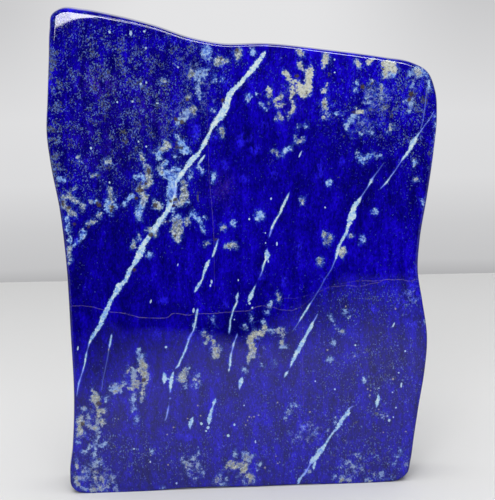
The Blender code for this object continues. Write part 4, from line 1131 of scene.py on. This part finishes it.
vein_tone = stone.noise(place, 1.3, 4.0, 0.70) + stone.smooth(height, 30.0, 190.0) * 0.12 - 0.02
vein_stops = [(0.36, SKY_BLUE), (0.50, ICE_BLUE), (0.68, ICE_WHITE)]
vein_colour = stone.ramp(vein_stops, vein_tone)
vein_colour = stone.blend(vein_colour, HAIR_BLUE, vein_thin)
colour = stone.blend(colour, vein_colour, vein_mask)
dark_colour = stone.blend(BROWN, NIGHT_BLUE, stone.smooth(lace, 0.0, 0.2))
colour = stone.blend(colour, dark_colour, dark_mask * 0.92)

# single grains
for number in range(GRAIN_FAMILIES):
    grain_x, grain_z, grain_tone = stone.stored(f"grains_{number}")
    apart = stone.reckon("SQRT", grain_x * grain_x + grain_z * grain_z)
    grain_mask = (1.0 - stone.smooth(apart + lace * 0.9, 0.75, 1.15)) * stone.smooth(grain_tone, 0.5, 0.6)
    grain_colour = stone.blend(GRAIN_WHITE, TAN, stone.smooth(grain_tone, 1.2, 1.8))
    colour = stone.blend(colour, grain_colour, grain_mask * 0.72)

# the healed crack
crack_wander = (stone.noise(place, 1.2, 3.0, 0.65) - 0.5) * 0.8
crack_break = stone.smooth(stone.noise(place, 1.6, 2.0, 0.6), 0.3, 0.55)
for name in ("crack", "crack_branch"):
    offset, half, strength = stone.stored(name)
    crack_mask = stone.smooth(half - abs(offset + crack_wander), -0.14, 0.08) * strength
    colour = stone.blend(colour, HEALED_TAN, crack_mask * crack_break * 0.5)

# the polish, a little duller on calcite and on the dark spots
POLISH_ROUGHNESS = 0.018
roughness = POLISH_ROUGHNESS + beige_mask * 0.05 + dark_mask * 0.12
stone.surface({"Base Color": colour, "Roughness": roughness, "IOR": 1.5, "Specular IOR Level": 0.30})

# The floor: a plain pale matt board that the slab stands on. Its far edge is a little further off
# at the left, so it runs askew behind the slab.
FLOOR_HALF_WIDTH = 1.5
FLOOR_FRONT = -0.9
FLOOR_BACK_LEFT = 0.836
FLOOR_BACK_RIGHT = 0.584
FLOOR_COLOUR = (0.62, 0.62, 0.615, 1.0)
floor_mesh = bpy.data.meshes.new("floor")
floor_corners = [
    (-FLOOR_HALF_WIDTH, FLOOR_FRONT, 0.0), (FLOOR_HALF_WIDTH, FLOOR_FRONT, 0.0),
    (FLOOR_HALF_WIDTH, FLOOR_BACK_RIGHT, 0.0), (-FLOOR_HALF_WIDTH, FLOOR_BACK_LEFT, 0.0),
]
floor_mesh.from_pydata(floor_corners, [], [(0, 1, 2, 3)])
floor = in_scene("floor", floor_mesh)
pale_board = bpy.data.materials.new("pale_board")
floor_mesh.materials.append(pale_board)
Finish(pale_board).surface({"Base Color": FLOOR_COLOUR, "Roughness": 0.7})

# Black gauze in front of the slab, seen only in its polish. It keeps the pale floor out of the
# upper part of the face, and thins out downwards, so the reflection of the floor begins softly.
# Each station is x and the five heights at which the gauze covers all, 4/5, 1/2, 1/5 and nothing.
GAUZE_Y = -150
GAUZE_TOP = 115
GAUZE_COVER = [1.0, 1.0, 0.8, 0.5, 0.2, 0.0]
GAUZE_STATIONS = [
    (-120, 53, 37, 25, 13, 0), (-86, 53, 37, 25, 13, 0), (-73, 63, 44, 27, 17, 3),
    (-59, 55, 49, 37, 29, 16), (-41, 55, 52, 42, 31, 19), (-19, 53, 51, 48, 40, 26),
    (2, 49, 47, 44, 42, 37), (18, 59, 53, 45, 42, 35), (35, 68, 61, 52, 43, 33),
    (45, 74, 65, 53, 44, 34), (59, 82, 74, 53, 44, 35), (75, 81, 76, 59, 51, 38),
    (91, 81, 75, 58, 46, 35), (120, 81, 75, 58, 46, 35),
]
stations = np.array(GAUZE_STATIONS, dtype=float)
gauze_rows = [np.full(len(stations), GAUZE_TOP)] + list(stations[:, 1:].T)
gauze_y = np.full(len(stations), GAUZE_Y)
card_points = np.concatenate([np.column_stack([stations[:, 0], gauze_y, row]) for row in gauze_rows]) * MM
card_index = np.arange(len(card_points)).reshape(len(gauze_rows), len(stations))
card_mesh = bpy.data.meshes.new("flag_card")
card_mesh.from_pydata(card_points, [], quads_of(card_index).tolist())
cover = card_mesh.attributes.new("cover", "FLOAT", "POINT")
cover.data.foreach_set("value", np.repeat(GAUZE_COVER, len(stations)))
card = in_scene("flag_card", card_mesh)
card.visible_camera = False
card.visible_diffuse = False
card.visible_shadow = False
card.visible_transmission = False
black_felt = bpy.data.materials.new("black_felt")
card_mesh.materials.append(black_felt)
FELT_BLACK = (0.004, 0.004, 0.005, 1.0)
felt = Finish(black_felt)
felt_cover = felt.node("ShaderNodeAttribute", {"attribute_name": "cover"}, {}, 2)
felt.surface({"Base Color": FELT_BLACK, "Roughness": 1.0, "Specular IOR Level": 0.0, "Alpha": felt_cover})

# Studio light: flat lamps before and above the slab. Two softboxes and a dim strip are met only in
# the polish, as the white corner and the bright arrises. Two fills, a panel overhead and a dim one
# in front give the plain light on the stone and the floor, and leave no reflection.
# Each is its name, width, height, radiance, place, aim and turn in degrees.
POLISH_LAMPS = [
    ("left_softbox", 0.16, 0.30, 34.0, (-0.183, -1.219, 0.383), (-0.183, 0.0, 0.383), 25.0),
    ("left_strip", 0.14, 0.30, 9.0, (-0.045, -1.219, 0.442), (-0.045, 0.0, 0.442), 25.0),
    ("right_softbox", 0.40, 0.60, 26.0, (0.23, -1.219, 0.65), (0.23, 0.0, 0.65), 0.0),
]
PLAIN_LAMPS = [
    ("left_fill", 0.28, 0.60, 17.0, (-0.271, -1.219, 0.511), (-0.271, 0.0, 0.511), 0.0),
    ("right_fill", 0.29, 0.28, 11.0, (0.175, -1.219, 0.50), (0.175, 0.0, 0.50), 0.0),
    ("overhead", 2.0, 2.0, 2.2, (0.0, -0.1, 1.5), (0.0, -0.1, 0.0), 0.0),
    ("front_fill", 1.0, 1.0, 2.0, (-0.2, -1.1, 1.1), (0.0, -0.1, 0.0), 0.0),
]


def aimed(place, aim, turned):
    """The matrix of a lamp or camera at a place that looks at aim, turned anticlockwise by degrees.

    Its third axis points backward from aim, its first is level and square to that, and its second
    square to both. The first two are then turned about the third.
    """
    backward = np.subtract(place, aim) / np.linalg.norm(np.subtract(place, aim))
    across = np.cross((0.0, TINY, 1.0), backward)
    across /= np.linalg.norm(across)
    upward = np.cross(backward, across)
    cosine, sine = np.cos(np.radians(turned)), np.sin(np.radians(turned))
    columns = [across * cosine + upward * sine, upward * cosine - across * sine, backward, place]
    return Matrix(np.column_stack(columns).tolist() + [[0, 0, 0, 1]])


for name, width, height, radiance, place, aim, turned in POLISH_LAMPS + PLAIN_LAMPS:
    lamp = bpy.data.lights.new(name, "AREA")
    lamp.shape = "RECTANGLE"
    lamp.size = width
    lamp.size_y = height
    lamp.energy = radiance * np.pi * width * height
    panel = in_scene(name, lamp)
    panel.matrix_world = aimed(place, aim, turned)
for name, *_ in POLISH_LAMPS:
    bpy.data.objects[name].visible_diffuse = False
for name, *_ in PLAIN_LAMPS:
    bpy.data.objects[name].visible_glossy = False

# The room: a pale wall, seen only by the camera, with its light and shade painted into its colour:
# darker towards its foot at the floor's far edge, lightest a little above that, and a painted pool
# of light in its middle. Behind the camera is darkness, which is all that the polished face reflects.
def cool_grey(level):
    """A grey with a trace more blue."""
    return level, level, level + 0.01, 1.0


ROOM_DARK = (0.008, 0.008, 0.009, 1.0)
ROOM_FILL = cool_grey(0.26)
ROOM_PALE = cool_grey(0.75)
WALL_BRIGHT = cool_grey(0.78)
WALL_LEVELS = [
    (0.0, 0.40), (0.07, 0.55), (0.20, 0.60), (0.37, 0.71), (0.60, 0.73), (0.80, 0.66), (1.0, 0.59),
]
WALL_FOOT = -0.135       # height of the line of sight to the foot of the wall, for 1 of length
WALL_TOP = 0.025
GLOW_MIDDLE = 0.045      # across, of the brightest part of the wall
room = bpy.data.worlds.new("room")
bpy.context.scene.world = room
air = Finish(room)
for_camera = air.node("ShaderNodeLightPath", {}, {}, 0)
for_polish = air.node("ShaderNodeLightPath", {}, {}, 3)
sight = air.node("ShaderNodeTexCoord", {}, {}, 0)
sight_x, sight_y, sight_z = air.axes(sight)
rise = (sight_z - WALL_FOOT) * (1.0 / (WALL_TOP - WALL_FOOT))
wall = air.ramp([(place, cool_grey(level)) for place, level in WALL_LEVELS], rise)
# a painted pool of light in the middle of the wall
painted_wall_glow = air.smooth(abs(sight_x - GLOW_MIDDLE), 0.15, 0.04) * air.smooth(rise, 0.30, 0.75)
wall = air.blend(wall, WALL_BRIGHT, painted_wall_glow)
reflected = air.blend(ROOM_DARK, ROOM_PALE, air.smooth(sight_y, -0.2, 0.8))
room_colour = air.blend(air.blend(ROOM_FILL, reflected, for_polish), wall, for_camera)
glow = air.node("ShaderNodeBackground", {}, {"Color": room_colour})
air.node("ShaderNodeOutputWorld", {}, {"Surface": glow})

# The camera: a long lens a little to the left of the slab and above its middle, held not quite
# level, as the photograph was taken.
CAMERA_PLACE = (-0.0401, -0.7839, 0.200)
CAMERA_AIM = (0.00072, -0.019, 0.110)
CAMERA_ROLL = -1.343     # degrees
lens = bpy.data.cameras.new("camera")
lens.lens = 122.67
lens.clip_start = 0.05
lens.clip_end = 20.0
camera = in_scene("camera", lens)
camera.matrix_world = aimed(CAMERA_PLACE, CAMERA_AIM, CAMERA_ROLL)
bpy.context.scene.camera = camera
bpy.context.scene.view_settings.view_transform = "Standard"
